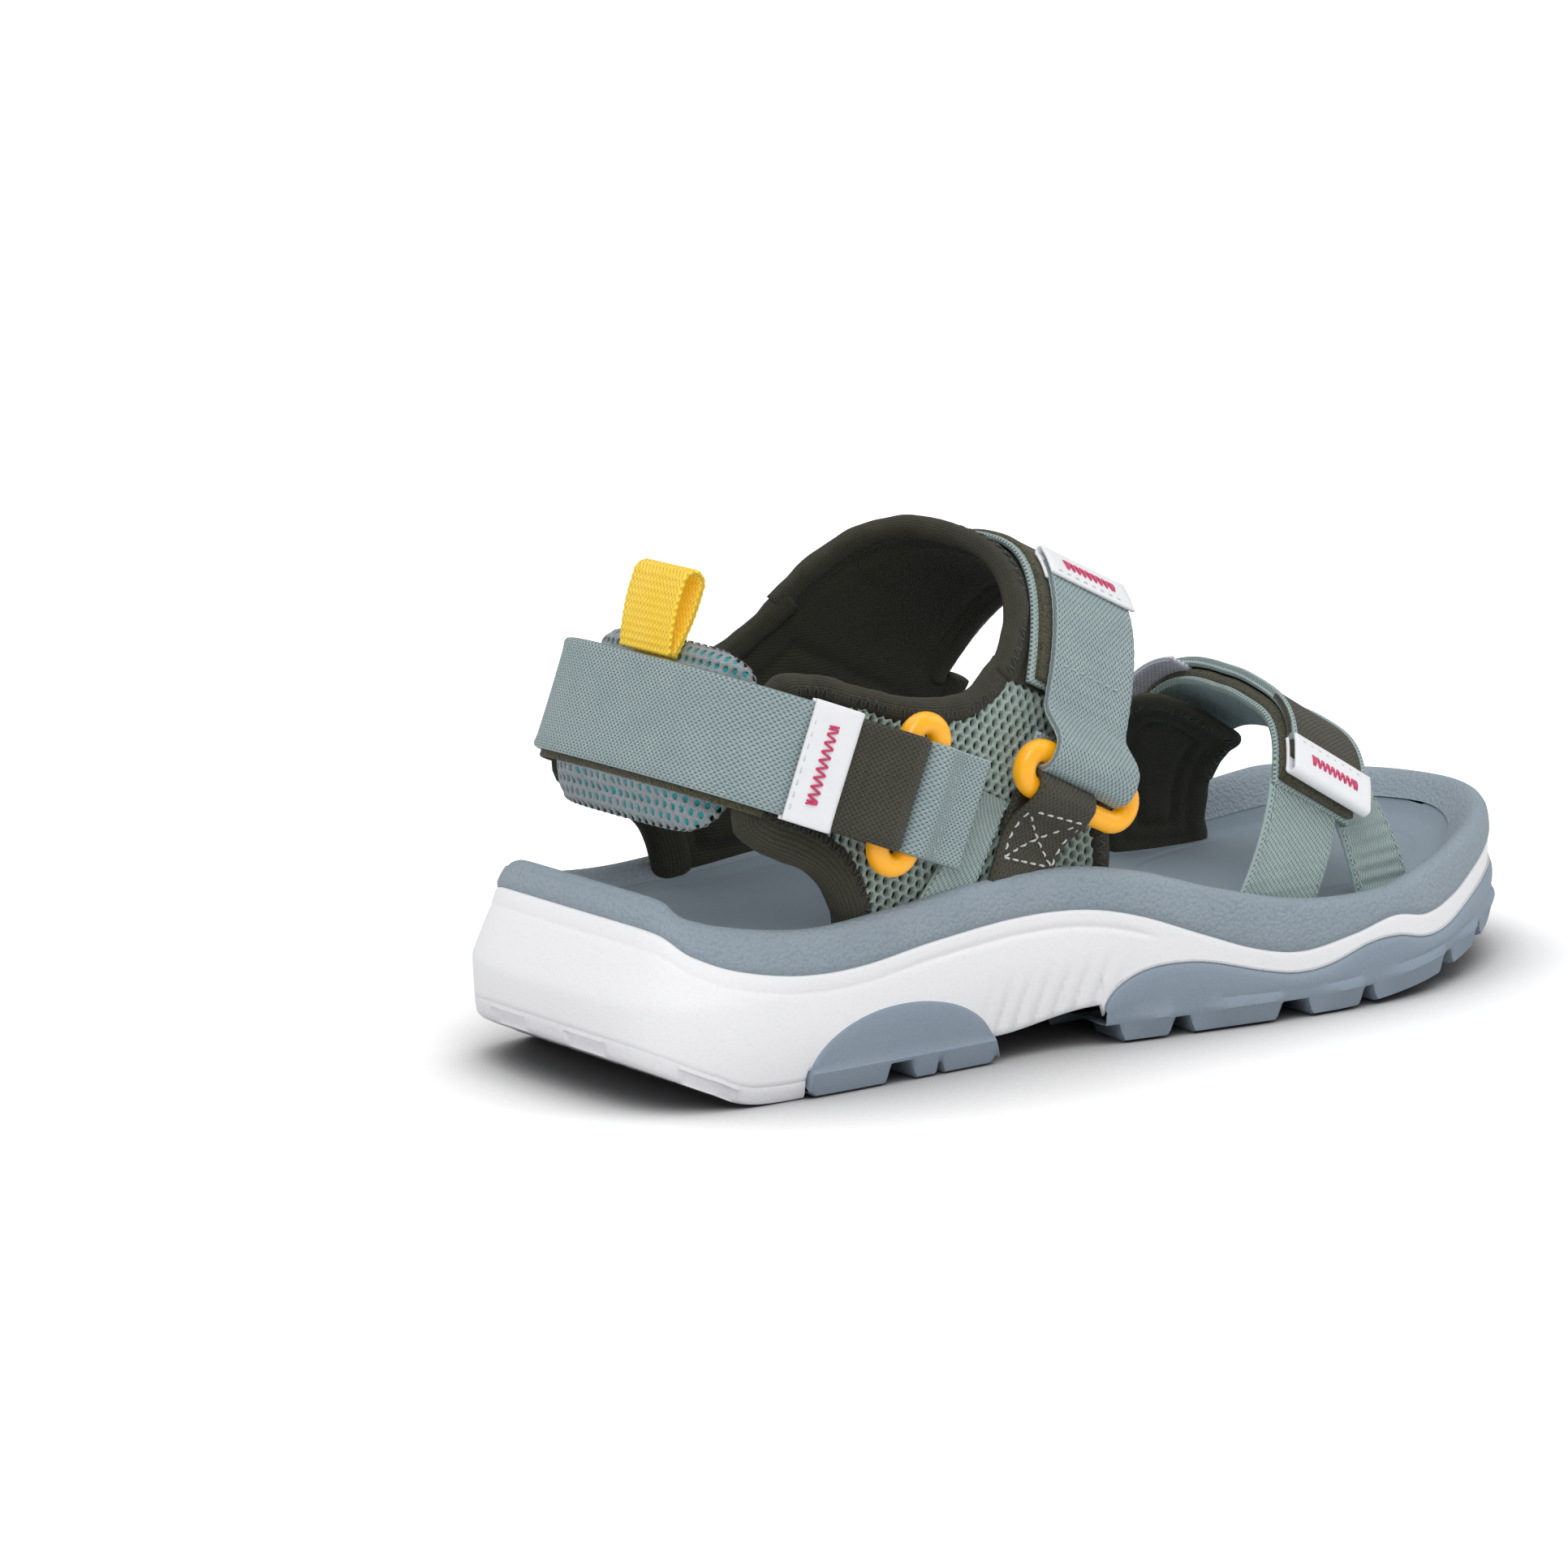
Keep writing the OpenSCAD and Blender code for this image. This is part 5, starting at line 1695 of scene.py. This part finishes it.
def toe_strap():
    u = np.linspace(33, 131, 70)
    shape = band(toe_line(u, 1.0), TOE.axis, WEB_W + 0.6, 1.7, 0.04)
    make("toe_under_webbing", shape, SAGE_WEB, ["toe_pile_strap"])
    shape = band(toe_line(u[1:-1], 3.1), TOE.axis, WEB_W - 0.8, 2.6, 0.0, uneven=0.4)
    make("toe_under_pile", shape, PILE)
    turn = [(127, 3.0), (130.5, 3.1), (132.6, 4.4), (131, 6.0), (127, 6.3)]
    turn += [(u, 6.1) for u in np.linspace(122, TAB_U0 + 5, 40)]
    line = [TOE.section(np.array(float(u)), o + toe_rise(u)) for u, o in turn]
    line = catmull(line, 0.5)
    path = TOE.world(toe_middle(line[:, 0]), line[:, 0], line[:, 1])
    shape = band(path, TOE.axis, WEB_W, 1.7, 0.05)
    piece = make("toe_strap_webbing", shape, OLIVE_WEB, ["toe_strap_flap"], None)
    metres(toe_line(130, 6))
    metres(toe_line(122, 6))
    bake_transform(piece)
    edges = Shape()
    for aside in (0.7 - WEB_W / 2, WEB_W / 2 - 0.7):
        path = toe_line(np.linspace(121, FLAP_U0 - 1, 50), 6.2, aside)
        band(path, TOE.axis, 2.6, 2.3, 0.0, uneven=0.1, cuts=6, shape=edges)
    make("toe_strap_edging", edges, SAGE_WEB, body="toe_flap")
    tab_s = float(toe_middle(TOE.base(np.array(40.0))[0]))
    tab_piece("toe_strap_tab", TOE, tab_s, FLAP_U0, TAB_U0, 5.1, 8.5, "toe_flap")
    u = np.linspace(106, 136, 40)
    path = toe_line(u, np.interp(u, (106, 131), (4.2, 4.9)), -3.5)
    shape = band(path, TOE.axis, WEB_W + 5, 1.3, 0.06, 2.0)
    make("toe_keeper_webbing", shape, PALE_WEB, ["toe_keeper"])


def toe_panel():
    """Padded panel from the footbed up to the strap, with a rolled edge and a pressed line."""
    corners = [(139, 122), (145, 114.5), (153, 111.5), (163, 111), (171, 112.5), (173.5, 121),
               (176, 130.5), (180, 139), (185, 147), (191, 156), (179, 166), (165.7, 172), (157, 163.6),
               (144, 150), (138, 136)]
    s, u = np.array(corners).T
    outline = catmull(np.stack([s, TOE.l_of_u(u)], 1), 1.0, True)

    def place(pts, o):
        return TOE.at(pts[:, 0], TOE.u_of_l(pts[:, 1]), o)

    def outer(pts):
        return -0.3 + 4.2 * smooth(131.5, 137, TOE.u_of_l(pts[:, 1]))

    def inner(pts):
        d = distance(outline, pts)
        pressed = np.exp(-((d - 10.5) / 0.9) ** 2) + 0.6 * np.exp(-((d - 6) / 0.8) ** 2)
        return -2.6 + 0.9 * pressed - 0.5 * smooth(11.5, 13.5, d)

    shape = patch(outline, place, inner, outer, 2.4, 1.3)
    make("toe_panel_padded", shape, PADDED, ["toe_panel"])
    u_line = TOE.u_of_l(outline[:, 1])
    z = -outline[:, 0] * TOE.sin + TOE.base(u_line)[1] * TOE.cos
    rolled, stitches = Shape(), []
    for run in runs(z > 23):
        line = inset(outline, 2.0)[run]
        normal = TOE.out(u_line[run])
        centre = place(line, np.where(u_line[run] < 134, -1.6, 0.7))
        thick = np.where(u_line[run] < 134, 3.0, 6.0)
        roll(rolled, centre, normal, 5.2, thick)
        stitches += roll_stitches(centre, -normal, 5.2, thick.min(), 1)
    make("toe_panel_binding", rolled, KNIT)
    make("toe_panel_stitches", threads(stitches, 0.24, 0.2), DARK)


toe_legs()
toe_strap()
toe_panel()


# --- Stage -------------------------------------------------------------------------------------
def stage():
    """White floor with a painted contact shadow, a pale sky and four soft lights."""
    look = Look("floor", 0.9, spec=0.1)
    # Painted contact shadow: where ambient occlusion finds the sandal close, the floor colour darkens towards
    # grey and its camera-ray glow dims.
    nearby = look.node("ShaderNodeAmbientOcclusion")
    nearby.inputs["Distance"].default_value = 0.08
    nearby.samples = 8
    clear = Val(look.tree, nearby.outputs["AO"])
    look.colour("fafafa", (look.noise(90.0) * 0.1, "f6f6f6"), ((clear.inverse() * 1.3).clip(), "5a5a5c"))
    seen = look.node("ShaderNodeLightPath").outputs["Is Camera Ray"]
    look.set("Emission Color", (1, 1, 1, 1))
    coords = look.node("ShaderNodeTexCoord")
    away = look.node("ShaderNodeVectorMath")
    away.operation = "LENGTH"
    look.link(coords.outputs["Object"], away.inputs[0])
    far = (Val(look.tree, away.outputs["Value"]) - 0.4).clip() * 0.8
    look.set("Emission Strength", Val(look.tree, seen) * ((clear ** 2.0) * 0.46 + far))
    bpy.ops.mesh.primitive_plane_add(size=12, location=(0, 0, -0.0003))
    floor = bpy.context.object
    floor.name = "floor"
    floor.data.materials.append(look.mat)
    scene = bpy.context.scene
    world = bpy.data.worlds.new("studio")
    scene.world = world
    world.use_nodes = True
    tree = world.node_tree
    sky = tree.nodes["Background"]
    sky.inputs[0].default_value = (0.985, 0.99, 1.0, 1)
    seen = tree.nodes.new("ShaderNodeLightPath").outputs["Is Camera Ray"]
    strength = Val(tree, seen) * 0.7 + 0.45
    tree.links.new(strength.socket, sky.inputs[1])
    for name, place, size, power in (("key", (-0.9, -1.1, 1.5), 1.2, 14), ("fill", (-0.6, 1.3, 1.2), 1.5, 5),
                                     ("front", (1.4, -0.8, 1.0), 1.3, 6), ("top", (0.1, 0.0, 2.0), 1.6, 9)):
        data = bpy.data.lights.new(name, "AREA")
        data.size, data.energy = size, power
        light = bpy.data.objects.new(name, data)
        light.location = place
        light.rotation_euler = (Vector((0, 0, 0.05)) - Vector(place)).to_track_quat("-Z", "Y").to_euler()
        scene.collection.objects.link(light)
    scene.view_settings.view_transform = "Standard"


def camera():
    """The photograph's viewing angle, seen through a long lens."""
    azimuth, elevation = math.radians(-39.0), math.radians(11.92)
    away, beside, above = 1.60876, 0.05987, 0.01414
    back = Vector((math.sin(azimuth) * math.cos(elevation), -math.cos(azimuth) * math.cos(elevation),
                   math.sin(elevation)))
    right = Vector((math.cos(azimuth), math.sin(azimuth), 0))
    up = back.cross(right)
    target = Vector(metres((145, 0, 40)))
    aim = target - right * beside + up * above
    data = bpy.data.cameras.new("camera")
    data.lens, data.sensor_width = 150, 36
    data.clip_end = 50
    cam = bpy.data.objects.new("camera", data)
    cam.location = target + back * away
    cam.rotation_euler = (aim - cam.location).to_track_quat("-Z", "Y").to_euler()
    bpy.context.scene.collection.objects.link(cam)
    bpy.context.scene.camera = cam


stage()
camera()

bpy.context.view_layer.update()
